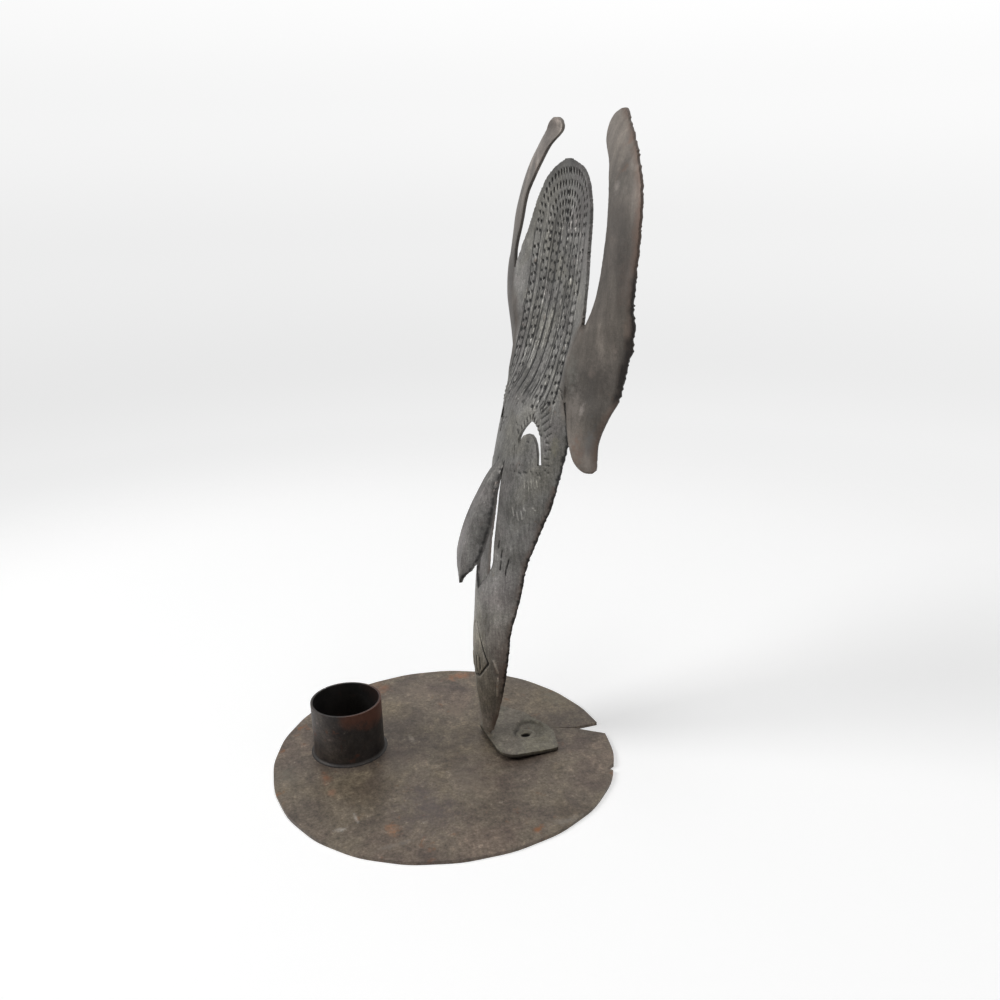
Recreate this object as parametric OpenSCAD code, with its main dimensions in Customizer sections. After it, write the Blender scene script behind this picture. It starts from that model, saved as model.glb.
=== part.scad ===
// Folk mask candle holder. A face cut from one steel sheet is chased, bent and riveted to a round plate,
// and a rolled candle cup is brazed on in front of it. Units are millimetres, +Z is up, the mask looks
// along -Y, and the origin is on the table under the middle of the plate.

/* [Base plate] */
// Radius of the round plate
plate_r = 60; // [52:0.5:72]
// Thickness of the plate
plate_t = 1.2; // [0.8:0.1:3]
// How far the hand-cut rim runs out of round
rim_wave = 0.6; // [0:0.1:1.5]
// Depth of the two cuts in the back of the rim
notch_depth = 11; // [4:0.5:14]

/* [Candle cup] */
// Bore of the cup, for a 22 mm taper candle
cup_bore = 23.4; // [18:0.1:28]
// Thickness of the rolled strip
cup_wall = 0.8; // [0.5:0.1:1.6]
// Height of the cup above the plate
cup_h = 19.5; // [12:0.5:30]
// Distance of the cup's middle from the plate's front edge
cup_inset = 29.8; // [16:0.2:36]
// Distance of the cup to the side of the plate's middle
cup_side = -16.3; // [-20:0.1:0]
// Width of the braze round the foot of the cup
braze_w = 1.1; // [0.5:0.1:2]
// Width of the cup's butt seam
seam_w = 0.4; // [0.2:0.1:0.8]

/* [Mask sheet] */
// Thickness of the mask sheet
sheet_t = 1.2; // [0.8:0.1:1.8]
// Height of the dome's top above the plate
dome_h = 199.6; // [170:0.2:230]
// Width of the head along the flat sheet, at the cheeks
head_w = 58.4; // [50:0.2:64]
// Distance of the neck's front from the plate's back edge
neck_inset = 43.2; // [38:0.2:46]
// Distance of the neck to the side of the plate's middle
neck_side = -4.5; // [-10:0.5:4]
// How far the side blades reach past the head
blade_reach = 19.3; // [15:0.1:24]
// How far the lobe on the far side is turned forward
far_turn = 3.5; // [0:0.5:6]
// How far the blades bulge between their edges
blade_camber = 0.7; // [0:0.1:2]

/* [Eyes and nose] */
// Height of the eyes' inner corners, above the plate
eye_h = 112.4; // [100:0.2:124]
// Width of the eye opening
eye_w = 16; // [10:0.2:18]
// Width of the pupil's tongue
pupil_w = 7.6; // [4:0.2:8.4]
// Height of the nose hinge, above the plate
nose_top = 104.5; // [96:0.2:110]
// Length of the nose tongue
nose_l = 46; // [30:0.5:52]
// Half width of the nose tongue at its widest
nose_half = 7.1; // [4:0.1:9]
// How far the nose tongue is pushed forward at its tip
nose_push = 7; // [4:0.5:12]

/* [Tab and rivet] */
// Width of the riveted tab
tab_w = 36; // [32:0.5:42]
// Depth of the tab, front to back
tab_d = 24; // [20:0.5:28]
// Height of the tab's front edge above the plate
tab_lift = 1.7; // [0.6:0.1:3]
// Distance of the rivet behind the tab's front edge
rivet_back = 13.8; // [9:0.2:17]
// Distance of the rivet to the side of the neck
rivet_side = 7; // [0:0.5:12]
// Radius of the rivet's shank
shank_r = 3; // [1.8:0.1:3.2]
// Radius of the rivet's head
rivet_head_r = 4.1; // [3.7:0.1:4.6]
// Thickness of the rivet's head
rivet_head_t = 0.5; // [0.3:0.1:1]
// Radius of the hammered dimple round the rivet
dimple_r = 6.8; // [6:0.1:8]

/* [Hidden] */
$fn = 96;
// Clearance of the rivet in its holes
fit = 0.05;
// Amount by which a cut runs past a face
over = 1;
top_z = plate_t;
cup_forward = plate_r - cup_inset;
neck_back = plate_r - neck_inset;
// The tab's front edge stands this far behind the neck's front
tab_set = 0.2;
cup_r = cup_bore / 2 + cup_wall;
rivet_x = neck_side + rivet_side;
rivet_y = neck_back + tab_set + rivet_back;
tab_tilt = atan(tab_lift / tab_d);
// Scales of the face against the sizes its stations were drawn at
kz = dome_h / 199.6;
kx = head_w / 58.4;
// Half width of the head and reach of the blades, as drawn in the stations
cheek_w = 29.2;
blade_drawn = 19.3;

// Stations of the head: height, distance of the middle behind the neck, bend of the sheet as one over its
// radius, half width along the sheet. The neck is a channel, the face is rounded with a step at the brow,
// and the dome above it is slightly hollow, which is a bend below zero.
HEAD = [
    [1.6, 0.3, 0.2, 4.4],
    [12, -0.6, 0.17, 8.8],
    [22, -1.6, 0.12, 12.4],
    [34, -1.9, 0.093, 15.1],
    [46, -1.0, 0.077, 16.4],
    [58, 0.2, 0.068, 18.9],
    [70, 1.9, 0.057, 20.5],
    [82, 4.5, 0.044, 23.7],
    [94, 7.5, 0.033, 27.2],
    [106, 10.8, 0.027, 28.7],
    [116, 13.7, 0.023, 29.2],
    [123.4, 16.2, 0.0195, 26.3],
    [127, 18.2, 0.015, 24.8],
    [130, 20.4, 0.009, 23.9],
    [135, 23.3, 0.002, 23.3],
    [140, 25.5, -0.003, 23.4],
    [147, 27.8, -0.0045, 24.7],
    [151.5, 28.9, -0.005, 27.3],
    [160, 31.0, -0.0065, 26.8],
    [168, 32.5, -0.008, 26.2],
    [176, 33.9, -0.009, 24.8],
    [184, 35.0, -0.009, 22.3],
    [190, 35.6, -0.0085, 18.9],
    [194.5, 35.8, -0.008, 14.8],
    [197.5, 35.7, -0.006, 9.4],
    [199.6, 35.6, -0.004, 1.8],
];
// Stations of a side blade: height, side and back place of its inner edge, then side, back place
// and height of its outer edge. It is an ear lobe below and a horn above, joined to the head between.
BLADE = [
    [106, 33.5, 25.9, 35.1, 27.4, 106.1],
    [107.2, 32.7, 25.1, 36.2, 28.0, 107.3],
    [109.9, 31.3, 23.8, 36.6, 28.0, 110],
    [115.9, 28.8, 22.3, 37.0, 28.4, 116.5],
    [123.4, 25.7, 22.7, 39.7, 30.5, 124.5],
    [130.3, 23.8, 23.6, 42.4, 33.3, 131.5],
    [139.9, 23.9, 24.8, 44.9, 34.0, 142],
    [147.1, 25.4, 26.2, 46.0, 34.0, 150],
    [151.5, 29.4, 28.0, 46.7, 34.1, 155],
    [159.2, 31.6, 29.8, 47.7, 34.3, 163],
    [169.1, 33.1, 31.3, 48.4, 34.9, 173],
    [179.1, 33.6, 32.4, 48.5, 35.7, 182],
    [188.1, 32.8, 33.5, 47.0, 36.7, 190],
    [193.5, 29.8, 35.0, 44.6, 37.6, 195.2],
    [198.3, 26.2, 36.8, 40.9, 38.7, 200],
    [204, 21.2, 38.5, 35.4, 40.1, 205],
    [208.6, 19.2, 40.4, 30.1, 41.5, 209.3],
    [211.5, 20.2, 41.7, 26.6, 42.4, 211.9],
    [212.9, 22.8, 42.6, 24.4, 42.9, 213],
];
// How the far blade is twisted against the near one: height, then how far back its outer and its inner
// edge lie, as shares of the turn.
FAR = [
    [106, -0.06, -0.11],
    [109.9, 0.11, 0.04],
    [115.9, 0.34, 0.17],
    [123.4, 0.61, 0.28],
    [130.3, 0.62, 0.3],
    [139.9, -0.13, 0.2],
    [147.1, -0.66, 0],
    [151.5, -0.69, -0.25],
    [159.2, -0.4, -0.51],
    [169.1, 0.1, -0.46],
    [179.1, 0.3, -0.02],
    [188.1, 0.47, 0.21],
    [193.5, 0.52, 0.14],
    [198.3, 0.41, -0.05],
    [204, 0.19, -0.08],
    [208.6, -0.1, 0.47],
    [211.5, -0.41, 0.24],
    [213, -0.4, 0],
];
// Stations of the nose tongue: share of its length, share of its push forward, share of its half width.
NOSE = [
    [0, 0, 0.36],
    [0.1, 0.3, 0.44],
    [0.2, 0.54, 0.53],
    [0.4, 0.82, 0.76],
    [0.6, 0.98, 0.93],
    [0.76, 1.03, 1.0],
    [0.86, 1.02, 0.72],
    [0.95, 0.99, 0.24],
    [1, 0.97, 0.04],
];

// Rows of the sheet's mesh are spread between these heights.
lobe_z = 106;
slit_z = 127;
notch_z = 151.5;
dome_z = 199.6;
tip_z = 212.9;
rows_face = 20;
rows_lobe = 6;
rows_join = 6;
rows_dome = 13;
rows_horn = 6;
j_lobe = rows_face;
j_slit = j_lobe + rows_lobe;
j_notch = j_slit + rows_join;
j_dome = j_notch + rows_dome;
j_tip = j_dome + rows_horn;
// Columns run from the far blade's outer edge over the head to the near blade's outer edge.
blade_cols = 4;
head_cols = 18;
i_far = blade_cols;
i_head = i_far + 1;
i_near = i_head + head_cols;
cols = i_near + 1 + blade_cols;

// Smooth curve through one column of a table of stations, at a height or share t.
function span(t, T, i = 0) = (i >= len(T) - 2 || t < T[i + 1][0]) ? i : span(t, T, i + 1);
function rate(T, i, c) =
    let (a = max(i - 1, 0), b = min(i + 1, len(T) - 1))
    (T[b][c] - T[a][c]) / (T[b][0] - T[a][0]);
function along(t, T, c) =
    let (i = span(t, T), h = T[i + 1][0] - T[i][0], u = (t - T[i][0]) / h, v = 1 - u)
    T[i][c] * (1 + 2 * u) * v * v + T[i + 1][c] * u * u * (3 - 2 * u)
    + h * u * v * (rate(T, i, c) * v - rate(T, i + 1, c) * u);

// Drawn height of row j, with rows crowded towards the round ends.
function row_z(j) =
    j <= j_lobe ? HEAD[0][0] + (lobe_z - HEAD[0][0]) * j / rows_face
    : j <= j_slit ? lobe_z + (slit_z - lobe_z) * pow((j - j_lobe) / rows_lobe, 1.5)
    : j <= j_notch ? slit_z + (notch_z - slit_z) * (j - j_slit) / rows_join
    : j <= j_dome ? notch_z + (dome_z - notch_z) * sin(90 * pow((j - j_notch) / rows_dome, 0.9))
    : dome_z + (tip_z - dome_z) * sin(90 * (j - j_dome) / rows_horn);

// Place reached at distance a along a sheet of bend k, and with that the way across the sheet, at depth d.
function bent(a, k, d) =
    let (t = a * k * 180 / PI, flat = abs(k) < 0.0001)
    [(flat ? a : sin(t) / k) - d * sin(t), (flat ? 0 : (1 - cos(t)) / k) + d * cos(t)];

// Point of the head's sheet at drawn height z and share s of its half width, depth d below its front.
function head_point(z, s, d) =
    let (p = bent(s * along(z, HEAD, 3) * kx, along(z, HEAD, 2) / kx, d))
    [p[0], along(z, HEAD, 1) + p[1], z * kz];

// Point of a side blade at drawn height z and share u from its inner to its outer edge, on side m.
function blade_x(w) = kx * min(w, cheek_w) + max(w - cheek_w, 0) * blade_reach / blade_drawn;
function turn(z, m, c) = m > 0 ? 0 : far_turn * along(z, FAR, c);
function blade_point(z, u, d, m) =
    let (
        p = [blade_x(along(z, BLADE, 1)), along(z, BLADE, 2) + turn(z, m, 2), z * kz],
        q = [blade_x(along(z, BLADE, 3)), along(z, BLADE, 4) + turn(z, m, 1), along(z, BLADE, 5) * kz],
        w = norm([q[0] - p[0], q[1] - p[1]]),
        n = [(q[1] - p[1]) / w, -(q[0] - p[0]) / w],
        b = blade_camber * sin(180 * u) * min(1, w / 12) - d,
        f = p + (q - p) * u
    )
    [m * (f[0] + n[0] * b), f[1] + n[1] * b, f[2]];

// Which cells of the mesh hold metal.
function solid_cell(i, j) =
    i < 0 || i >= cols || j < 0 || j >= j_tip ? false
    : i < i_far || i > i_near ? j >= j_lobe
    : i == i_near ? j >= j_slit && j < j_notch
    // the far slit ends one row higher than the near one
    : i == i_far ? j >= j_slit && j < j_notch + 1
    : j < j_dome;

function sheet_point(i, j, d) =
    i <= i_far ? blade_point(row_z(max(j, j_lobe)), 1 - i / blade_cols, d, -1)
    : i > i_near ? blade_point(row_z(max(j, j_lobe)), (i - i_near - 1) / blade_cols, d, 1)
    : head_point(row_z(min(j, j_dome)), 2 * (i - i_head) / head_cols - 1, d);

// A slab made of two skins over a grid of cells, closed by a wall wherever a cell ends.
module skin_slab(front, back, nc, nr, cells) {
    w = nc + 1;
    m = w * (nr + 1);
    quads = [
        for (c = cells)
            let (i = c[0], j = c[1], a = j * w + i, b = a + 1, e = a + w, f = e + 1)
            each concat(
                [[a, b, f, e], [m + a, m + e, m + f, m + b]],
                c[2] ? [] : [[a, e, m + e, m + a]],
                c[3] ? [] : [[f, b, m + b, m + f]],
                c[4] ? [] : [[b, a, m + a, m + b]],
                c[5] ? [] : [[e, f, m + f, m + e]]
            )
    ];
    faces = [for (q = quads) each [[q[2], q[1], q[0]], [q[3], q[2], q[0]]]];
    polyhedron(points = concat(front, back), faces = faces);
}

module bent_sheet() {
    front = [for (j = [0:j_tip]) for (i = [0:cols]) sheet_point(i, j, 0)];
    back = [for (j = [0:j_tip]) for (i = [0:cols]) sheet_point(i, j, sheet_t)];
    cells = [
        for (j = [0:j_tip - 1]) for (i = [0:cols - 1]) if (solid_cell(i, j))
            [i, j, solid_cell(i - 1, j), solid_cell(i + 1, j), solid_cell(i, j - 1), solid_cell(i, j + 1)]
    ];
    skin_slab(front, back, cols, j_tip, cells);
}

// Half width of the nose tongue's opening at share t of its length.
function nose_w(t) = nose_half * along(t, NOSE, 2);
nose_rows = 10;
nose_cols = 8;
nose_gap = 0.25;
// The tongue curves forward, so it hangs down by less than its length.
nose_drop = 0.93;

// The tongue is creased along its middle and its near side is bent further back than its far side.
function nose_point(t, s, d) =
    let (
        z = nose_top - 0.4 + sheet_t * (1 - t) - nose_drop * (nose_l - nose_gap) * t,
        y = along(z / kz, HEAD, 1) - nose_push * along(t, NOSE, 1) + 0.3 * sheet_t * (1 - t),
        x = s * (nose_w(t) - nose_gap) * (s > 0 ? 1 - 0.22 * min(1, 3 * t) : 1),
        fold = min(1, 0.35 + 3 * t)
    )
    [x, y + fold * (s > 0 ? 0.9 * (sqrt(x * x + 0.8) - 0.9) : 0.12 * abs(x)) + d, z];

module nose_tongue() {
    front = [for (j = [0:nose_rows]) for (i = [0:nose_cols])
        nose_point(1 - j / nose_rows, 2 * i / nose_cols - 1, 0)];
    back = [for (j = [0:nose_rows]) for (i = [0:nose_cols])
        nose_point(1 - j / nose_rows, 2 * i / nose_cols - 1, sheet_t)];
    cells = [
        for (j = [0:nose_rows - 1]) for (i = [0:nose_cols - 1])
            [i, j, i > 0, i < nose_cols - 1, j > 0, j < nose_rows - 1]
    ];
    skin_slab(front, back, nose_cols, nose_rows, cells);
}

// Outline of the opening that the nose tongue leaves, in the mask's front view.
module nose_outline() {
    n = 12;
    side = [for (k = [0:n]) [nose_w(k / n), nose_top - nose_l * k / n]];
    other = [for (k = [n:-1:0]) [-nose_w(k / n), nose_top - nose_l * k / n]];
    polygon(concat(side, other));
}

// Almond of one eye in the front view, from its inner corner, round over the top and square at the bottom.
eye_step = eye_w / 16;
function bow(a, b, c, n) =
    [for (k = [0:n - 1]) let (t = k / n, v = 1 - t) v * v * a + 2 * t * v * b + t * t * c];
module eye_outline() {
    rise = bow([4.8, 0.5], [8.2, 4.6], [12.6, 7.2], 5);
    fall = bow([12.6, 7.2], [17.6, 5.4], [18.8, 0], 6);
    under = [[19.9, -6.6], [17.4, -6.9], [10.6, -6.2], [8.5, -2.2], [6.2, -0.7]];
    translate([0, eye_h])
        scale(eye_step)
            polygon(concat(rise, fall, under));
}

// The pupil stays joined to the lower lid and stands up in the eye with a round top.
module pupil_outline() {
    r = pupil_w / 2;
    x = 13.1 * eye_step;
    translate([x, eye_h]) {
        translate([0, -1.1])
            circle(r);
        polygon([[-r, -1.1], [r, -1.1], [r + 1.2, -8], [-r + 0.6, -8]]);
    }
}

module eye_cut() {
    difference() {
        eye_outline();
        pupil_outline();
    }
}

// Rounded corner of the tab: centre, radius, first and last angle.
function corner(x, y, r, a, b) =
    [for (k = [0:6]) let (t = a + (b - a) * k / 6) [x + r * cos(t), y + r * sin(t)]];

module tab_outline() {
    near = tab_w * 0.567;
    far = near - tab_w;
    polygon(concat(
        corner(near - 6, 6, 6, -90, 0),
        corner(near - 2.6, tab_d - 4.4, 2.2, 0, 62),
        corner(8.2, tab_d - 13, 13, 66, 108),
        corner(-4.6, tab_d - 8.4, 4, 100, 122),
        corner(far + 3.4, 9.6, 3.4, 122, 215),
        [[-3.4, 0]]
    ));
}

module base_plate() {
    sink = over + plate_t / 2;
    color("rosybrown")
        difference() {
            linear_extrude(plate_t)
                polygon([for (k = [0:143]) let (t = k * 2.5) (plate_r + rim_wave * (cos(2 * t - 33)
                    + cos(3 * t - 154) + 0.5 * cos(4 * t + 169) + 0.2 * sin(23 * t))) * [cos(t), sin(t)]]);
            // Two cuts in the rim behind the mask, the first running on as a fine slit.
            translate([0, 0, -over])
                linear_extrude(plate_t + 2 * over)
                    rim_cuts();
            translate([rivet_x, rivet_y, -over])
                cylinder(h = plate_t + 2 * over, r = shank_r + fit);
            // Countersink for the peened end, so that the plate lies flat.
            translate([rivet_x, rivet_y, -over])
                cylinder(h = sink, r1 = shank_r + fit + 0.6 * sink, r2 = shank_r + fit);
        }
}

module rim_cuts() {
    tip = plate_r - notch_depth;
    rotate(84.7) {
        polygon([[plate_r + 4, 2.2], [plate_r + 4, -9.5], [tip, 1.2]]);
        polygon([[tip + 1, 1.3], [tip + 1, 0.8], [tip - 11, 5.2]]);
    }
    rotate(57.6)
        polygon([[plate_r + 4, 8], [plate_r + 4, -3.3], [plate_r - 0.1 * notch_depth, -0.6]]);
}

module candle_cup() {
    color("dimgray")
        translate([cup_side, -cup_forward, top_z])
            difference() {
                cylinder(h = cup_h, r = cup_r);
                translate([0, 0, -over])
                    cylinder(h = cup_h + 2 * over, r = cup_bore / 2);
                // Groove of the butt seam, on the outside.
                rotate(205)
                    translate([cup_r - cup_wall / 2, -seam_w / 2, -over])
                        cube([cup_wall, seam_w, cup_h + 2 * over]);
            }
}

module cup_braze() {
    color("goldenrod")
        translate([cup_side, -cup_forward, top_z])
            rotate_extrude()
                difference() {
                    translate([cup_r, 0])
                        square(braze_w);
                    translate([cup_r + braze_w, braze_w])
                        circle(braze_w);
                }
}

// Tab bent back from the neck, lifted at the front, with a dimple that brings it down to the plate.
module tab() {
    under = tab_lift * (1 - rivet_back / tab_d);
    difference() {
        union() {
            translate([0, 0, tab_lift])
                rotate([-tab_tilt, 0, 0])
                    linear_extrude(sheet_t)
                        tab_outline();
            translate([rivet_side, rivet_back, 0])
                cylinder(h = under + sheet_t / 2, r1 = rivet_head_r + 0.6, r2 = dimple_r);
        }
        translate([rivet_side, rivet_back, sheet_t])
            cylinder(h = under + sheet_t, r1 = rivet_head_r + 0.2, r2 = dimple_r + 2 * sheet_t);
        translate([rivet_side, rivet_back, -over])
            cylinder(h = 3 * sheet_t + over, r = shank_r + fit);
        // The back edge is dressed flat on the plate.
        translate([-tab_w, 0, -3])
            cube([2 * tab_w, 2 * tab_d, 3]);
    }
}

module mask_sheet() {
    color("slategray")
        translate([neck_side, neck_back, top_z]) {
            difference() {
                bent_sheet();
                translate([0, 60, 0])
                    rotate([90, 0, 0])
                        linear_extrude(80) {
                            nose_outline();
                            eye_cut();
                            mirror([1, 0])
                                eye_cut();
                        }
                // Reliefs at the foot of the neck, which leave the strap that is bent into the tab.
                for (m = [-1, 1])
                    translate([m * 6.4, 30, 1])
                        rotate([90, 0, 0])
                            cylinder(h = 60, r = 3.6);
            }
            nose_tongue();
            translate([0, tab_set, 0])
                tab();
        }
}

module rivet() {
    color("darkslategray")
        translate([rivet_x, rivet_y, 0])
            difference() {
                union() {
                    cylinder(h = top_z + sheet_t, r = shank_r);
                    translate([0, 0, top_z + sheet_t])
                        cylinder(h = rivet_head_t, r1 = rivet_head_r, r2 = rivet_head_r - 0.2);
                    cylinder(h = plate_t / 2, r1 = shank_r + 0.6 * plate_t / 2, r2 = shank_r);
                }
                // Mouth of the hollow rivet, hammered to a slot.
                translate([0, 0, plate_t / 2])
                    rotate(39) {
                        for (m = [-1, 1])
                            translate([m * shank_r * 0.48, 0, 0])
                                cylinder(h = 10, r = shank_r * 0.38, $fn = 48);
                        translate([-shank_r * 0.48, -shank_r * 0.38, 0])
                            cube([shank_r * 0.96, shank_r * 0.76, 10]);
                    }
            }
}

base_plate();
candle_cup();
cup_braze();
mask_sheet();
rivet();
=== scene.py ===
import math
import random

import bmesh
import bpy
import numpy as np
from mathutils import Matrix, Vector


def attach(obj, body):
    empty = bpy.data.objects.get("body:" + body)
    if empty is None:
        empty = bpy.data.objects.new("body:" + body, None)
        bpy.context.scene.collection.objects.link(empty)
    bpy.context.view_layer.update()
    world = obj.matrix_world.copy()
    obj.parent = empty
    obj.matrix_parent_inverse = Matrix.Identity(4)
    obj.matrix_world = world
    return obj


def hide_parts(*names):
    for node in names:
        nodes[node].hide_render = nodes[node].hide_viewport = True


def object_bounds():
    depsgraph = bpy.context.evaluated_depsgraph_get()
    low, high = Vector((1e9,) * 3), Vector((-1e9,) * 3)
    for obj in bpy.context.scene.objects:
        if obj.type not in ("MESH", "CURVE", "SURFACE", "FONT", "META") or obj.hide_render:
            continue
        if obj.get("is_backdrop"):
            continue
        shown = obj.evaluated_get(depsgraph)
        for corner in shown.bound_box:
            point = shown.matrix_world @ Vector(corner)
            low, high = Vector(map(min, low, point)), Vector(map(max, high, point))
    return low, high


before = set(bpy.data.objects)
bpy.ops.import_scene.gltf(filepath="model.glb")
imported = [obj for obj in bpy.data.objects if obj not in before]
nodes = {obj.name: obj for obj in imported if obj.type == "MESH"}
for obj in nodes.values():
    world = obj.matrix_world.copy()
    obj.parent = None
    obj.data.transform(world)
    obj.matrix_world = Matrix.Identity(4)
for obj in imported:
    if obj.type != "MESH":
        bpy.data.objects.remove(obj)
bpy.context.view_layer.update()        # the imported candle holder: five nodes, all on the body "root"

scene = bpy.context.scene
scene.view_settings.view_transform = "Standard"

# The camera of the photograph: it stands off the near cheek, a little above the head, looks down at the
# plate and leans slightly to one side.
azimuth, tilt, lean = math.radians(70), math.radians(18.298), math.radians(-1.743)
lens = bpy.data.cameras.new("camera")
lens.sensor_width = 36
lens.lens = 36
lens.clip_start = 0.01
camera = bpy.data.objects.new("camera", lens)
scene.collection.objects.link(camera)
camera.matrix_world = (
    Matrix.Translation((0.30025, -0.08473, 0.19810))
    @ Matrix.Rotation(azimuth, 4, "Z")
    @ Matrix.Rotation(math.pi / 2 - tilt, 4, "X")
    @ Matrix.Rotation(lean, 4, "Z")
)
scene.camera = camera


# The set: a white table that turns up into a pale cove all round, lit by a soft light from the left of
# the camera, a wide one overhead and a weak one from the right.
def node(tree, kind, values=(), links=(), **settings):
    """Adds a shader node. values are the plain numbers and colours of its inputs, links what feeds them."""
    made = tree.nodes.new(kind)
    for name, value in settings.items():
        setattr(made, name, value)
    for name, value in dict(values).items():
        made.inputs[name].default_value = value
    for name, source in dict(links).items():
        tree.links.new(source, made.inputs[name])
    return made


def ramp(tree, source, stops, smooth=False):
    """Colour ramp over source; stops are (position, colour) from left to right."""
    made = node(tree, "ShaderNodeValToRGB", links={"Fac": source})
    band = made.color_ramp
    band.interpolation = "EASE" if smooth else "LINEAR"
    while len(band.elements) < len(stops):
        band.elements.new(0.5)
    for element, (position, colour) in zip(band.elements, stops):
        element.position = position
        element.color = (*colour, 1) if len(colour) == 3 else colour
    return made.outputs["Color"]


def grey(value):
    return (value, value, value)


def new_material(name):
    """A material with its node tree emptied, and its output."""
    material = bpy.data.materials.new(name)
    material.use_nodes = True
    material.node_tree.nodes.clear()
    return material, material.node_tree, material.node_tree.nodes.new("ShaderNodeOutputMaterial")


table_r, cove_r, cove_h = 0.5, 0.4, 1.0
bpy.ops.object.select_all(action="DESELECT")
bpy.ops.mesh.primitive_circle_add(vertices=96, radius=table_r, fill_type="NGON", location=(0, 0, -0.00005))
table = bpy.context.object
table.name = "table"
bpy.ops.object.mode_set(mode="EDIT")
bpy.ops.mesh.select_mode(type="EDGE")
bpy.ops.mesh.select_all(action="SELECT")
bpy.ops.mesh.region_to_loop()
steps = 10
for k in range(1, steps + 1):
    before, after = (math.radians(90) * j / steps for j in (k - 1, k))
    rise = cove_r * (math.cos(before) - math.cos(after))
    wider = (table_r + cove_r * math.sin(after)) / (table_r + cove_r * math.sin(before))
    bpy.ops.mesh.extrude_edges_move(TRANSFORM_OT_translate={"value": (0, 0, rise)})
    bpy.ops.transform.resize(value=(wider, wider, 1))
bpy.ops.mesh.extrude_edges_move(TRANSFORM_OT_translate={"value": (0, 0, cove_h)})
bpy.ops.mesh.select_all(action="SELECT")
bpy.ops.mesh.normals_make_consistent(inside=True)
bpy.ops.object.mode_set(mode="OBJECT")
bpy.ops.object.transform_apply(location=True, rotation=True, scale=True)
bpy.ops.object.shade_smooth_by_angle(angle=math.radians(40))

white, tree, out = new_material("white_cove")
place = node(tree, "ShaderNodeTexCoord").outputs["Object"]
apart = node(tree, "ShaderNodeSeparateXYZ", links={"Vector": place})
flat = node(tree, "ShaderNodeCombineXYZ", links={"X": apart.outputs["X"], "Y": apart.outputs["Y"]})
away = node(tree, "ShaderNodeVectorMath", links={0: flat.outputs[0]}, operation="LENGTH")
reach = node(tree, "ShaderNodeMath", links={0: away.outputs["Value"], 1: apart.outputs["Z"]}, operation="ADD")
along = node(tree, "ShaderNodeMapRange", {"From Min": 0.1, "From Max": 1.6}, {"Value": reach.outputs[0]})
# painted light: the glow that the camera and reflections see changes with distance from the table's middle, a painted
# fall of the studio light over the cove
shade = ramp(tree, along.outputs["Result"], [
    (0.0, grey(0.38)), (0.10, grey(0.38)), (0.267, grey(0.86)), (0.377, grey(0.825)), (0.547, grey(0.87)),
    (0.695, grey(0.935)), (0.809, grey(1.0)), (1.0, grey(1.0))], smooth=True)
paper = ramp(tree, along.outputs["Result"], [(0.0, grey(0.8)), (0.10, grey(0.8)), (0.267, grey(0.0))], smooth=True)
# painted light: the cove's glow is a little lighter on the right of the camera, as if a lamp stood there
side = node(tree, "ShaderNodeVectorMath", {1: (0.342, 0.94, 0)}, {0: place}, operation="DOT_PRODUCT")
painted_lighter_right = node(tree, "ShaderNodeMapRange", {"From Min": -0.5, "From Max": 0.5, "To Min": 0.965, "To Max": 1.03},
               {"Value": side.outputs["Value"]})
rays = node(tree, "ShaderNodeLightPath")
seen = node(tree, "ShaderNodeMath", links={0: rays.outputs["Is Camera Ray"], 1: rays.outputs["Is Glossy Ray"]},
            operation="ADD", use_clamp=True)
level = node(tree, "ShaderNodeMath", links={0: seen.outputs[0], 1: painted_lighter_right.outputs["Result"]}, operation="MULTIPLY")
glow = node(tree, "ShaderNodeEmission", links={"Color": shade, "Strength": level.outputs[0]})
matt = node(tree, "ShaderNodeBsdfDiffuse", links={"Color": paper})
both = node(tree, "ShaderNodeAddShader", links={0: matt.outputs[0], 1: glow.outputs[0]})
tree.links.new(both.outputs[0], out.inputs["Surface"])
table.data.materials.append(white)
table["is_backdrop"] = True


def soft_light(name, place, aim, size, power):
    """A square studio softbox that stands at place and points at aim."""
    lamp = bpy.data.lights.new(name, "AREA")
    lamp.shape = "SQUARE"
    lamp.size = size
    lamp.energy = power
    lamp_object = bpy.data.objects.new(name, lamp)
    scene.collection.objects.link(lamp_object)
    way = (Matrix.Translation(aim).translation - Matrix.Translation(place).translation).to_track_quat("-Z", "Y")
    lamp_object.matrix_world = Matrix.LocRotScale(place, way, None)


middle = (0, 0, 0.1)
soft_light("left_light", (-0.25, -1.3, 1.0), middle, 0.8, 15.5)
soft_light("top_light", (0.1, 0.2, 1.5), middle, 1.2, 10)
soft_light("right_light", (0.9, 0.9, 0.6), middle, 0.8, 3)
scene.world = bpy.data.worlds.new("studio")
scene.world.use_nodes = True
scene.world.node_tree.nodes["Background"].inputs["Color"].default_value = (1, 1, 1, 1)
scene.world.node_tree.nodes["Background"].inputs["Strength"].default_value = 0.25
table.visible_shadow = False


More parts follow.
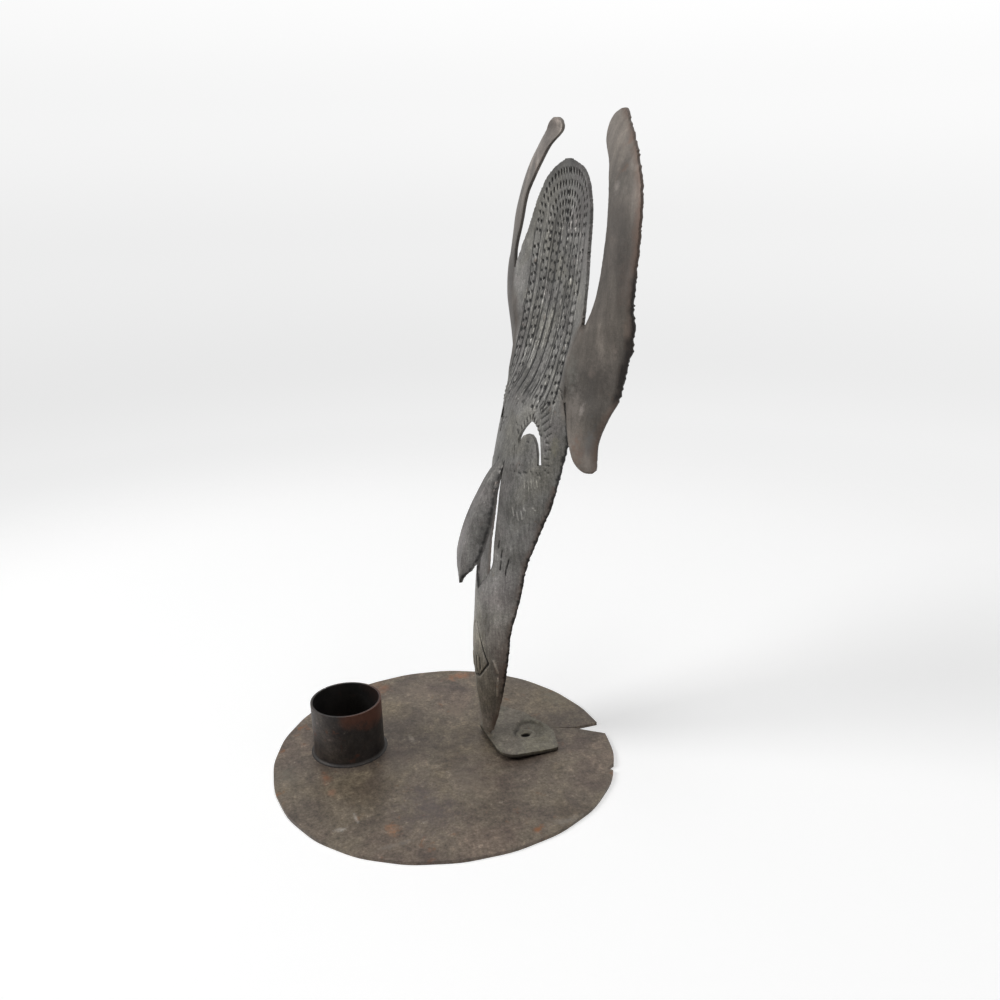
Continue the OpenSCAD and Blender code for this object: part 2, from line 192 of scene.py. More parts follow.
# Base plate: a hand-cut disc of thin sheet steel, browned by old rust and rubbed by use.
def patina_group():
    """Mottled colour, roughness and fine relief of old sheet steel, on the piece's Object coordinates."""
    group = bpy.data.node_groups.new("patina", "ShaderNodeTree")
    for name, kind in (("Steel", "Color"), ("Dark", "Color"), ("Rust", "Color"), ("Rust Cover", "Float"),
                       ("Patch Scale", "Float"), ("Speckle Scale", "Float"), ("Speckle", "Float"),
                       ("Flecks", "Float")):
        group.interface.new_socket(name, in_out="INPUT", socket_type="NodeSocket" + kind)
    for name, kind in (("Color", "Color"), ("Roughness", "Float"), ("Height", "Float")):
        group.interface.new_socket(name, in_out="OUTPUT", socket_type="NodeSocket" + kind)
    given = node(group, "NodeGroupInput").outputs
    result = node(group, "NodeGroupOutput")
    place = node(group, "ShaderNodeTexCoord").outputs["Object"]
    patch = node(group, "ShaderNodeTexNoise", {"Detail": 6, "Roughness": 0.6, "Distortion": 0.4},
                 {"Vector": place, "Scale": given["Patch Scale"]})
    speckle = node(group, "ShaderNodeTexNoise", {"Detail": 4, "Roughness": 0.7},
                   {"Vector": place, "Scale": given["Speckle Scale"]})
    moved = node(group, "ShaderNodeVectorMath", {1: (3.1, 1.7, 5.3)}, {0: place}, operation="ADD")
    small = node(group, "ShaderNodeMath", {1: 2.3}, {0: given["Patch Scale"]}, operation="MULTIPLY")
    wide = node(group, "ShaderNodeMath", {1: 0.5}, {0: given["Patch Scale"]}, operation="MULTIPLY")
    coarse = node(group, "ShaderNodeMath", {1: 0.37}, {0: given["Speckle Scale"]}, operation="MULTIPLY")
    rust = node(group, "ShaderNodeTexNoise", {"Detail": 8, "Roughness": 0.7, "Distortion": 0.2},
                {"Vector": moved.outputs[0], "Scale": small.outputs[0]})
    tint = node(group, "ShaderNodeTexNoise", {"Detail": 4, "Roughness": 0.6, "Distortion": 0.5},
                {"Vector": moved.outputs[0], "Scale": wide.outputs[0]})
    grit = node(group, "ShaderNodeTexNoise", {"Detail": 6, "Roughness": 0.75},
                {"Vector": moved.outputs[0], "Scale": coarse.outputs[0]})
    mottled = node(group, "ShaderNodeMix", links={
        "Factor": ramp(group, patch.outputs["Fac"], [(0.38, grey(0)), (0.6, grey(1))]),
        "A": given["Dark"], "B": given["Steel"]}, data_type="RGBA").outputs["Result"]
    # olive and purplish tints of old oxide, then grit, then a fine grain
    for source, stops in (
            (tint, [(0.36, (0.99, 0.93, 0.96)), (0.5, grey(1.0)), (0.64, (1.04, 1.02, 0.93))]),
            (grit, [(0.34, grey(0.62)), (0.47, grey(0.92)), (0.55, grey(1.08)), (0.68, grey(1.55))]),
            (speckle, [(0.3, grey(0.6)), (0.5, grey(1.0)), (0.7, grey(1.45))])):
        mottled = node(group, "ShaderNodeMix", links={
            "Factor": given["Speckle"], "A": mottled, "B": ramp(group, source.outputs["Fac"], stops)},
            data_type="RGBA", blend_type="MULTIPLY").outputs["Result"]
    fleck = node(group, "ShaderNodeMath", links={
        0: ramp(group, grit.outputs["Fac"], [(0.64, grey(0)), (0.70, grey(1))]), 1: given["Flecks"]},
        operation="MULTIPLY")
    speckled = node(group, "ShaderNodeMix", {"B": (0.42, 0.37, 0.3, 1)}, {
        "Factor": fleck.outputs[0], "A": mottled}, data_type="RGBA")
    edge = node(group, "ShaderNodeMath", {0: 1.0}, {1: given["Rust Cover"]}, operation="SUBTRACT")
    over = node(group, "ShaderNodeMath", links={0: rust.outputs["Fac"], 1: edge.outputs[0]}, operation="SUBTRACT")
    cover = node(group, "ShaderNodeMath", {1: 8.0}, {0: over.outputs[0]}, operation="MULTIPLY", use_clamp=True)
    rusted = node(group, "ShaderNodeMix", links={
        "Factor": cover.outputs[0], "A": speckled.outputs["Result"], "B": given["Rust"]}, data_type="RGBA")
    rough = node(group, "ShaderNodeMapRange", {"To Min": 0.42, "To Max": 0.62}, {"Value": patch.outputs["Fac"]})
    rougher = node(group, "ShaderNodeMath", {1: 0.2}, {0: cover.outputs[0], 2: rough.outputs[0]},
                   operation="MULTIPLY_ADD")
    group.links.new(rusted.outputs["Result"], result.inputs["Color"])
    group.links.new(rougher.outputs[0], result.inputs["Roughness"])
    group.links.new(speckle.outputs["Fac"], result.inputs["Height"])
    return group


patina = patina_group()


def patina_of(tree, steel_colour, dark, rust, cover, patch, speckle_scale, speckle=1.0, flecks=0.0):
    """The patina group with a piece's own colours and scales."""
    mix = node(tree, "ShaderNodeGroup", node_tree=patina)
    for key, value in (("Steel", (*steel_colour, 1)), ("Dark", (*dark, 1)), ("Rust", (*rust, 1)),
                       ("Rust Cover", cover), ("Patch Scale", patch), ("Speckle Scale", speckle_scale),
                       ("Speckle", speckle), ("Flecks", flecks)):
        mix.inputs[key].default_value = value
    return mix


def spot_group():
    """Mask of one ragged blotch round a place on the piece, 1 in its middle."""
    group = bpy.data.node_groups.new("blotch", "ShaderNodeTree")
    for name, kind in (("Centre", "Vector"), ("Spread", "Vector"), ("Grain", "Float")):
        group.interface.new_socket(name, in_out="INPUT", socket_type="NodeSocket" + kind)
    group.interface.new_socket("Mask", in_out="OUTPUT", socket_type="NodeSocketFloat")
    given = node(group, "NodeGroupInput").outputs
    result = node(group, "NodeGroupOutput")
    place = node(group, "ShaderNodeTexCoord").outputs["Object"]
    away = node(group, "ShaderNodeVectorMath", links={0: place, 1: given["Centre"]}, operation="SUBTRACT")
    away = node(group, "ShaderNodeVectorMath", links={0: away.outputs[0], 1: given["Spread"]}, operation="DIVIDE")
    away = node(group, "ShaderNodeVectorMath", links={0: away.outputs[0]}, operation="LENGTH")
    ragged = node(group, "ShaderNodeTexNoise", {"Detail": 5, "Roughness": 0.7}, {"Vector": place, "Scale": given["Grain"]})
    ragged = node(group, "ShaderNodeMath", {1: 2.6}, {0: ragged.outputs["Fac"], 2: away.outputs["Value"]},
                  operation="MULTIPLY_ADD")
    mask = node(group, "ShaderNodeMapRange", {"From Min": 2.2, "From Max": 1.0}, {"Value": ragged.outputs[0]},
                interpolation_type="SMOOTHSTEP")
    group.links.new(mask.outputs["Result"], result.inputs["Mask"])
    return group


blotch_mask = spot_group()


def blotches(tree, colour, spots, grain):
    """Blotches over a colour. Each: where and how far it spreads in mm, its colour and how much it covers."""
    for centre, spread, tint, cover in spots:
        mask = node(tree, "ShaderNodeGroup", node_tree=blotch_mask)
        mask.inputs["Centre"].default_value = [v * 0.001 for v in centre]
        mask.inputs["Spread"].default_value = [v * 0.001 for v in spread]
        mask.inputs["Grain"].default_value = grain
        much = node(tree, "ShaderNodeMath", {1: cover}, {0: mask.outputs[0]}, operation="MULTIPLY")
        colour = node(tree, "ShaderNodeMix", {"B": (*tint, 1)}, {"Factor": much.outputs[0], "A": colour},
                      data_type="RGBA").outputs["Result"]
    return colour


def steel(name, steel_colour, dark, rust, cover, patch, speckle, metal, flecks, bump=0.00008, spots=()):
    material, tree, out = new_material(name)
    mix = patina_of(tree, steel_colour, dark, rust, cover, patch, speckle, 1.0, flecks)
    colour = blotches(tree, mix.outputs["Color"], spots, 420)
    relief = node(tree, "ShaderNodeBump", {"Strength": 0.6, "Distance": bump}, {"Height": mix.outputs["Height"]})
    skin = node(tree, "ShaderNodeBsdfPrincipled", {"Metallic": metal},
                {"Base Color": colour, "Roughness": mix.outputs["Roughness"], "Normal": relief.outputs["Normal"]})
    tree.links.new(skin.outputs[0], out.inputs["Surface"])
    return material


def dress(node_name, material):
    """Gives a CAD node a better material."""
    piece = nodes[node_name]
    for slot in piece.material_slots:
        slot.material = material
    if not piece.material_slots:
        piece.data.materials.append(material)


dress("base_plate", steel("browned_plate", (0.175, 0.142, 0.105), (0.095, 0.073, 0.056), (0.25, 0.105, 0.045), 0.375,
                          60, 900, 0.22, 0.5, spots=(
    ((30, -14, 1), (22, 18, 9), (0.085, 0.067, 0.068), 0.7), ((-1, -16, 1), (18, 9, 9), (0.085, 0.07, 0.055), 0.6),
    ((22, 4, 1), (15, 11, 9), (0.2, 0.165, 0.125), 0.55), ((-25, 13, 1), (10, 7, 9), (0.2, 0.155, 0.115), 0.6),
    ((-46, 5, 1), (13, 16, 9), (0.2, 0.155, 0.12), 0.55), ((-54, -9, 1), (8, 5, 9), (0.3, 0.12, 0.05), 0.6),
    ((-51, 23, 1), (4, 9, 9), (0.34, 0.13, 0.055), 0.7), ((-0.3, -42, 1), (5, 3, 9), (0.29, 0.11, 0.05), 0.8),
    ((9, -42, 1), (4, 3, 9), (0.29, 0.16, 0.1), 0.8), ((36.5, -28, 1), (5, 3.4, 9), (0.36, 0.17, 0.08), 0.9),
    ((26, -37.5, 1), (5, 1, 9), (0.45, 0.42, 0.38), 0.85), ((30, -43, 1), (1.6, 3, 9), (0.42, 0.39, 0.35), 0.85),
    ((-13, -8, 1), (4, 1.6, 9), (0.38, 0.33, 0.27), 0.8), ((53.6, 25.7, 1), (3, 8, 9), (0.24, 0.215, 0.185), 0.7),
    ((44, -30, 1), (2, 9, 9), (0.22, 0.195, 0.165), 0.6), ((-20, 52, 1), (10, 7, 9), (0.135, 0.125, 0.095), 0.7),
    ((-8, -55, 1), (9, 7, 9), (0.14, 0.13, 0.1), 0.6))))

# Candle cup: a strip of thin steel rolled to a ring, near-black inside, rusted red on its right, where it also carries
# painted shade.
cup_x, cup_y = -0.0163, -0.0302
cup_steel, tree, out = new_material("blackened_cup")
mix = patina_of(tree, (0.062, 0.05, 0.042), (0.018, 0.013, 0.012), (0.14, 0.05, 0.028), 0.41, 110, 1200, 1.0, 0.35)
place = node(tree, "ShaderNodeTexCoord").outputs["Object"]
from_cup = node(tree, "ShaderNodeVectorMath", {1: (-cup_x, -cup_y, 0)}, {0: place}, operation="ADD")
apart = node(tree, "ShaderNodeSeparateXYZ", links={"Vector": from_cup.outputs[0]})
flat = node(tree, "ShaderNodeCombineXYZ", links={"X": apart.outputs["X"], "Y": apart.outputs["Y"]})
radius = node(tree, "ShaderNodeVectorMath", links={0: flat.outputs[0]}, operation="LENGTH")
right = node(tree, "ShaderNodeVectorMath", {1: (0.55, 0.84, 0)}, {0: from_cup.outputs[0]}, operation="DOT_PRODUCT")
# painted shade: the right side, facing away from the left light, is darkened; towards the mouth it is rusted red
turned_from_light = node(tree, "ShaderNodeMapRange", {"From Min": -0.004, "From Max": 0.009}, {"Value": right.outputs["Value"]})
upper = node(tree, "ShaderNodeMapRange", {"From Min": 0.008, "From Max": 0.019}, {"Value": apart.outputs["Z"]})
cloud = node(tree, "ShaderNodeTexNoise", {"Scale": 190, "Detail": 5, "Roughness": 0.6}, {"Vector": place})
spread = node(tree, "ShaderNodeMath", links={0: turned_from_light.outputs["Result"], 1: upper.outputs["Result"]}, operation="MULTIPLY")
spread = node(tree, "ShaderNodeMath", links={0: spread.outputs[0], 1: cloud.outputs["Fac"]}, operation="MULTIPLY")
shaded_side = node(tree, "ShaderNodeMix", links={
    "Factor": turned_from_light.outputs["Result"], "A": mix.outputs["Color"],
    "B": node(tree, "ShaderNodeMix", {"Factor": 0.62, "B": (0.008, 0.007, 0.007, 1)}, {"A": mix.outputs["Color"]},
              data_type="RGBA").outputs["Result"]}, data_type="RGBA")
red = node(tree, "ShaderNodeMix", {"B": (0.105, 0.038, 0.022, 1)}, {
    "Factor": ramp(tree, spread.outputs[0], [(0.22, grey(0)), (0.42, grey(0.85))]), "A": shaded_side.outputs["Result"]},
    data_type="RGBA")
# everything inside the rim's radius is coloured near-black
mouth = node(tree, "ShaderNodeMix", {"A": (0.006, 0.006, 0.006, 1)}, {
    "Factor": ramp(tree, node(tree, "ShaderNodeMapRange", {"From Min": 0.0115, "From Max": 0.0125},
                              {"Value": radius.outputs["Value"]}).outputs["Result"], [(0.0, grey(0)), (1.0, grey(1))]),
    "B": red.outputs["Result"]}, data_type="RGBA")
relief = node(tree, "ShaderNodeBump", {"Strength": 0.7, "Distance": 0.0001}, {"Height": mix.outputs["Height"]})
skin = node(tree, "ShaderNodeBsdfPrincipled", {"Metallic": 0.3}, {
    "Base Color": mouth.outputs["Result"], "Roughness": mix.outputs["Roughness"], "Normal": relief.outputs["Normal"]})
tree.links.new(skin.outputs[0], out.inputs["Surface"])
dress("candle_cup", cup_steel)

# Braze: the brass that holds the cup to the plate, darkened all over.
dress("cup_braze", steel("dark_braze", (0.022, 0.017, 0.014), (0.01, 0.008, 0.007), (0.07, 0.04, 0.022), 0.40,
                         200, 1500, 0.3, 0.6))

# Mask sheet: one piece of 1.2 mm sheet steel. Its outline, eyes and nose are chiselled out flat, the
# pattern is chased from the front, then the neck is bent to a channel, the dome is stretched hollow, the
# horns and ear lobes are twisted, the nose is pushed forward and the foot is bent back as a riveted tab.
sheet = 1.2          # all sizes of this section are millimetres from the neck's foot, on the plate
neck_side, neck_back, plate_top = -4.5, 16.8, 1.2
# height, how far back the middle lies, bend as one over the radius, half width along the sheet
HEAD = np.array([
    [1.6, 0.3, 0.2, 4.4], [12, -0.6, 0.17, 8.8], [22, -1.6, 0.12, 12.4], [34, -1.9, 0.093, 15.1],
    [46, -1.0, 0.077, 16.4], [58, 0.2, 0.068, 18.9], [70, 1.9, 0.057, 20.5], [82, 4.5, 0.044, 23.7],
    [94, 7.5, 0.033, 27.2], [106, 10.8, 0.027, 28.7], [116, 13.7, 0.023, 29.2], [123.4, 16.2, 0.0195, 26.3],
    [127, 18.2, 0.015, 24.8], [130, 20.4, 0.009, 23.9], [135, 23.3, 0.002, 23.3], [140, 25.5, -0.003, 23.4],
    [147, 27.8, -0.0045, 24.7], [151.5, 28.9, -0.005, 27.3], [160, 31.0, -0.0065, 26.8],
    [168, 32.5, -0.008, 26.2], [176, 33.9, -0.009, 24.8], [184, 35.0, -0.009, 22.3],
    [190, 35.6, -0.0085, 18.9], [194.5, 35.8, -0.008, 14.8], [197.5, 35.7, -0.006, 9.4],
    [199.6, 35.6, -0.004, 1.8]])
# height, side and back place of the inner edge, side and back place and height of the outer edge
BLADE = np.array([
    [106, 33.0, 25.5, 35.1, 27.4, 106.1], [107.2, 31.5, 24.2, 36.2, 28.0, 107.3],
    [109.9, 30.0, 22.9, 36.6, 28.0, 110], [115.9, 28.4, 22.1, 37.0, 28.4, 116.5],
    [123.4, 25.7, 22.7, 39.7, 30.5, 124.5], [130.3, 23.8, 23.6, 42.4, 33.3, 131.5],
    [139.9, 23.9, 24.8, 44.9, 34.0, 142], [147.1, 25.4, 26.2, 46.0, 34.0, 150],
    [151.5, 29.4, 28.0, 46.7, 34.1, 155], [159.2, 31.6, 29.8, 47.7, 34.3, 163],
    [169.1, 33.1, 31.3, 48.4, 34.9, 173], [179.1, 33.6, 32.4, 48.5, 35.7, 182],
    [188.1, 32.8, 33.5, 47.0, 36.7, 190], [193.5, 29.8, 35.0, 44.6, 37.6, 195.2],
    [198.3, 26.2, 36.8, 40.9, 38.7, 200], [204, 21.2, 38.5, 35.4, 40.1, 205],
    [208.6, 19.2, 40.4, 30.1, 41.5, 209.3], [211.5, 20.2, 41.7, 26.6, 42.4, 211.9],
    [212.9, 22.8, 42.6, 24.4, 42.9, 213]])
# height, how far back the outer and the inner edge of the far blade lie against the near one
FAR_TURN = np.array([
    [106, -0.2, -0.4], [109.9, 0.4, 0.15], [115.9, 1.2, 0.6], [123.4, 2.1, 1.0], [130.3, 2.2, 1.05],
    [139.9, -0.45, 0.7], [147.1, -2.3, 0], [151.5, -2.4, -0.9], [159.2, -1.4, -1.8], [169.1, 0.35, -1.6],
    [179.1, 1.05, -0.1], [188.1, 1.65, 0.75], [193.5, 1.8, 0.5], [198.3, 1.45, -0.2], [204, 0.65, -0.3],
    [208.6, -0.35, 1.65], [211.5, -1.45, 0.85], [213, -1.4, 0]])
# share of the nose's length, of its push forward and of its half width
NOSE = np.array([
    [0, 0, 0.36], [0.1, 0.3, 0.44], [0.2, 0.54, 0.53], [0.4, 0.82, 0.76], [0.6, 0.98, 0.93],
    [0.76, 1.03, 1.0], [0.86, 1.02, 0.72], [0.95, 0.99, 0.24], [1, 0.97, 0.04]])
nose_top, nose_long, nose_half, nose_push = 104.5, 46, 7.1, 7
lobe_z, slit_z, notch_z, far_notch_z, dome_z, tip_z = 106, 127, 151.5, 164.3, 199.6, 212.9
blade_flat = 40      # where a blade lies on the flat blank: this far from the middle, 20 wide


def along(t, table, column):
    """Smooth curve through one column of a table of stations, at the heights or shares t."""
    i = np.clip(np.searchsorted(table[:, 0], t, side="right") - 1, 0, len(table) - 2)

    def rate(j):
        a, b = np.maximum(j - 1, 0), np.minimum(j + 1, len(table) - 1)
        return (table[b, column] - table[a, column]) / (table[b, 0] - table[a, 0])
    h = table[i + 1, 0] - table[i, 0]
    u = (t - table[i, 0]) / h
    v = 1 - u
    return (table[i, column] * (1 + 2 * u) * v * v + table[i + 1, column] * u * u * (3 - 2 * u)
            + h * u * v * (rate(i) * v - rate(i + 1) * u))


def ease(x):
    x = np.clip(x, 0, 1)
    return x * x * (3 - 2 * x)


def half_width(z, side=1):
    """Half width of the head along the sheet; at the foot two round reliefs leave the strap of the tab.
    The far cheek is cut 2 mm shorter behind, so that light shows past it through the nose's opening, and
    both slits close to a point."""
    relief = 7 - np.sqrt(np.maximum(0, 3.6 ** 2 - (z - 1) ** 2))
    short = np.where(np.asarray(side) < 0, 2.1 * ease((z - 52) / 9) * ease((97 - z) / 8), 0)
    short = short - np.where(np.asarray(side) < 0, 2.7 * ease((181 - z) / 17) * ease((z - 152) / 8)
                             + 1.0 * ease((171 - z) / 7) * ease((z - 163) / 1.5),
                             1.4 * ease((160 - z) / 8) * ease((z - 149.5) / 2.5))
    return np.minimum(along(z, HEAD, 3) - short, np.where(z < 4.6, relief, 99))


# The flat blank: rows of cells from the foot to the horns' tips, closer together where the pattern is fine
# and where an outline runs round.
heights = np.concatenate([
    np.linspace(1.6, 66, 92), np.linspace(66, lobe_z, 66)[1:], np.linspace(lobe_z, slit_z, 42)[1:],
    np.linspace(slit_z, notch_z, 58)[1:], np.linspace(notch_z, 191, 92)[1:],
    dome_z - (dome_z - 191) * (1 - np.linspace(0, 1, 29)[1:]) ** 1.8,
    tip_z - (tip_z - dome_z) * (1 - np.linspace(0, 1, 33)[1:]) ** 1.5])
rows = len(heights) - 1
blade_cols, head_cols = 14, 140
cols = 2 * blade_cols + head_cols + 2
bpy.ops.object.select_all(action="DESELECT")
bpy.ops.mesh.primitive_grid_add(x_subdivisions=cols, y_subdivisions=rows, size=1)
mask = bpy.context.object
mask.name = "chased_mask"
points = np.empty(len(mask.data.vertices) * 3)
mask.data.vertices.foreach_get("co", points)
points = points.reshape(-1, 3)
column = np.rint((points[:, 0] + 0.5) * cols).astype(int)
row = np.rint((points[:, 1] + 0.5) * rows).astype(int)
z = heights[row]
across = np.empty(len(z))
head = (column > blade_cols) & (column <= blade_cols + 1 + head_cols)
across[head] = ((2 * (column[head] - blade_cols - 1) / head_cols - 1)
                * half_width(np.minimum(z[head], dome_z), column[head] - blade_cols - 1 - head_cols / 2))
far = column <= blade_cols
across[far] = -blade_flat - 20 * (1 - column[far] / blade_cols)
near = ~head & ~far
across[near] = blade_flat + 20 * (column[near] - blade_cols - head_cols - 2) / blade_cols
mask.data.vertices.foreach_set("co", (np.stack([across, 0 * z, z], 1) * 0.001).ravel())
mask.data.update()

# Cells without metal are cut away: beside the neck, in the slits along the dome, above the dome.
bpy.ops.object.mode_set(mode="EDIT")
blank = bmesh.from_edit_mesh(mask.data)
bpy.ops.mesh.select_mode(type="FACE")
bpy.ops.mesh.select_all(action="DESELECT")
for face in blank.faces:
    middle = face.calc_center_median() * 1000
    side, height = abs(middle.x), middle.z
    if side > blade_flat:
        face.select = height < lobe_z
    elif side < 34 and max(abs(v.co.x) for v in face.verts) < 0.034:
        face.select = height > dome_z
    else:
        face.select = height < slit_z or height > (notch_z if middle.x > 0 else far_notch_z)
bmesh.update_edit_mesh(mask.data)
bpy.ops.mesh.delete(type="FACE")
bpy.ops.object.mode_set(mode="OBJECT")


def modify(piece, kind, **settings):
    """Adds a modifier and applies it."""
    bpy.context.view_layer.objects.active = piece
    modifier = piece.modifiers.new(kind.lower(), kind)
    for name, value in settings.items():
        setattr(modifier, name, value)
    bpy.ops.object.modifier_apply(modifier=modifier.name)


# The blank gets its thickness behind the front, and the burr is filed off its edges.
modify(mask, "SOLIDIFY", thickness=0.0012, offset=-1 if mask.data.polygons[0].normal.y < 0 else 1)
modify(mask, "BEVEL", width=0.00022, segments=2, limit_method="ANGLE", angle_limit=math.radians(60),
       use_clamp_overlap=False)


def sheet_x(x, z):
    """Distance along the sheet for a place x to the side in the mask's front view."""
    k = along(np.array([z]), HEAD, 2)[0]
    return math.asin(max(-1, min(1, x * k))) / k


def cutter(outline):
    """A punch with this outline on the flat blank, which passes right through it."""
    mesh = bpy.data.meshes.new("punch")
    mesh.from_pydata([(x * 0.001, -0.001, y * 0.001) for x, y in outline], [], [range(len(outline))])
    punch = bpy.data.objects.new("punch", mesh)
    scene.collection.objects.link(punch)
    bpy.ops.object.select_all(action="DESELECT")
    punch.select_set(True)
    bpy.context.view_layer.objects.active = punch
    bpy.ops.object.mode_set(mode="EDIT")
    bpy.ops.mesh.select_all(action="SELECT")
    bpy.ops.mesh.extrude_region_move(TRANSFORM_OT_translate={"value": (0, 0.0035, 0)})
    bpy.ops.mesh.select_all(action="SELECT")
    bpy.ops.mesh.normals_make_consistent(inside=False)
    bpy.ops.object.mode_set(mode="OBJECT")
    return punch


def flat_view(outline):
    return [(sheet_x(x, y), y) for x, y in outline]


def wander(t, seed):
    """Slow uneven wave along t, between about -1 and 1."""
    return (np.sin(t * 0.37 + seed) + np.sin(t * 0.83 + 2.1 * seed) + np.sin(t * 1.71 + 3.7 * seed)) / 2.2


def nose_width(t):
    """Half width of the nose at a share of its length; its bottom edge was cut roughly."""
    return nose_half * (along(t, NOSE, 2) + 0.035 * wander(t * 130, 3) * ease((t - 0.78) / 0.05) * ease((1 - t) / 0.08))


# Eye: an arched slit, measured along the sheet; the pupil stays joined to the lower lid and stands up in it.
eye = [(8.6, 111.3), (7.9, 112.2), (8.4, 114.4), (9.6, 116.4), (11.4, 118.5), (12.7, 119.6), (13.4, 119.2),
       (14.3, 119.0), (15.8, 118.0), (17.3, 116.3), (18.5, 114.5), (19.4, 111.7), (20.1, 109.0), (20.9, 106.0),
       (19.2, 105.8), (18.5, 109.3), (17.2, 112.3), (15.8, 114.1), (14.2, 115.0), (12.1, 115.0), (10.5, 114.2),
       (9.7, 113.0), (9.4, 111.2)]
share = np.concatenate([np.linspace(0, 0.72, 16), np.linspace(0.74, 1, 27)])
width = nose_width(share)
kerf = 0.25
inner = np.maximum(width - kerf, 0.02)
drop = nose_top - nose_long * share
drop_in = nose_top - (nose_long - kerf) * share
nose = ([(-w, y) for w, y in zip(width, drop)] + [(w, y) for w, y in zip(width[::-1], drop[::-1])]
        + [(w, y) for w, y in zip(inner, drop_in)] + [(-w, y) for w, y in zip(inner[::-1], drop_in[::-1])])
punches = [cutter(eye), cutter([(-x, y) for x, y in eye]), cutter(flat_view(nose))]
for punch in punches:
    modify(mask, "BOOLEAN", operation="DIFFERENCE", solver="EXACT", object=punch)
    bpy.data.objects.remove(punch)
draw = random.Random(11)


def chisel(t, pitch, seed):
    """Depth, 0 to 1, of the bites that the chisel left along an edge, with sharp cusps between them."""
    return np.abs(np.sin(np.pi * t / pitch + 1.3 * wander(t, seed))) ** 0.8 * (0.65 + 0.35 * wander(t * 0.7, seed + 1))


# The pattern of the dome: rows of punched dots that run up the dome as ladders of two, part above
# ARCH_FOOT and go over the top as single arches. A row is named by its distance from the middle.
ARCH_FOOT = 176
ROWS = np.array([[0, 177.5], [1.3, 178.8], [3.9, 181], [6.2, 183.5], [10, 186.3], [12.3, 189.2], [17.2, 192.2],
                 [19.05, 196], [21.5, 199]])          # distance from the middle at the foot, top of the arch


def arch(q, z):
    """How far from the middle the arch of row q passes at height z."""
    top = np.interp(q, ROWS[:, 0], ROWS[:, 1])
    t = np.clip((z - ARCH_FOOT) / (top - ARCH_FOOT), 0, 1)
    return q * (1 - t ** 2.5) ** 0.4 - 1.0 * t


def row_of(a, z):
    """The row, as a distance q at the arch's foot, that passes through a place on the sheet."""
    low, high = np.zeros_like(a), np.full_like(a, 26.0)
    for _ in range(18):
        q = (low + high) / 2
        top = np.interp(q, ROWS[:, 0], ROWS[:, 1])
        inside = (arch(q, z) < np.abs(a - np.clip((z - ARCH_FOOT) / 20, 0, 1))) | (z >= top)
        low, high = np.where(inside, q, low), np.where(inside, high, q)
    return (low + high) / 2


strokes = []         # first end, second end, half width, depth; below zero the stroke stands up


def stroke(a0, z0, a1, z1, thick=0.36, depth=0.3):
    strokes.append((a0, z0, a1, z1, thick, depth))


for n, q in enumerate(ROWS[1:8, 0]):
    for side in (-1, 1):
        height = 123.5 + draw.uniform(0, 0.8) + (4 if q < 2 else 0) + (2.0 if q > 17 else 0)
        while height < ARCH_FOOT - 1.6:
            jog = 0.5 * math.sin(height * 0.13 + n)
            a = side * q * (1 + 0.06 * max(0, (140 - height) / 14)) + draw.uniform(-0.15, 0.15)
            # the marks grow faint low down, where the ruled lines take over
            faint = (0.7 if q < 8 else 1) - (0.45 if q < 8 else 0.2) * max(0, min(1, (166 - height) / 16))
            long = draw.uniform(0.1, 0.34) * (0.6 if q < 8 else 1)
            stroke(a - long, height + 0.1 * jog, a + long, height - 0.1 * jog + draw.uniform(-0.2, 0.2),
                   draw.uniform(0.4, 0.54), draw.uniform(0.5, 0.75) * faint)
            height += 3.1 + draw.uniform(-0.15, 0.15)
        if q < 2:
            continue
        top = np.interp(q, ROWS[:, 0], ROWS[:, 1])
        turn = 0.06
        while turn < math.pi / 2 - 0.02:
            t = math.sin(turn)
            a = side * q * (1 - t ** 2.5) ** 0.4 + t
            z = ARCH_FOOT + (top - ARCH_FOOT) * t
            # the dots are round at the foot and drawn out along the head over the top
            long = 0.16 + 0.32 * t
            stroke(a - side * long * (1 - t) - 0.05, z - long * t, a + side * long * (1 - t) + 0.05, z + long * t,
                   draw.uniform(0.48, 0.6) * (0.88 + 0.12 * t), draw.uniform(0.6, 0.85) * (0.84 + 0.16 * t))
            # the dots stand closer together over the top
            step = 2.9 - 0.9 * t
            ahead = turn
            moved = 0
            while moved < step and ahead < math.pi / 2:
                ahead += 0.01
                s = math.sin(ahead)
                moved += math.hypot(side * q * (1 - s ** 2.5) ** 0.4 + s - a, ARCH_FOOT + (top - ARCH_FOOT) * s - z)
                a, z = side * q * (1 - s ** 2.5) ** 0.4 + s, ARCH_FOOT + (top - ARCH_FOOT) * s
            turn = ahead
        stroke(1.0, top - 0.4, 1.0, top + 0.4, 0.45, 0.5)
# scratches of the wire brush run down the dome, some cut in and some with a raised burr
for _ in range(300):
    a, height, long = draw.uniform(-21, 21), draw.uniform(123, 186), draw.uniform(2, 8)
    if abs(a) < 24 - max(0, height - 165) * 0.5:
        stroke(a, height, a * (1 + 0.004 * long), height - long, draw.uniform(0.15, 0.23),
               draw.choice((-0.12, -0.16, -0.2, 0.14, 0.2, 0.28)))

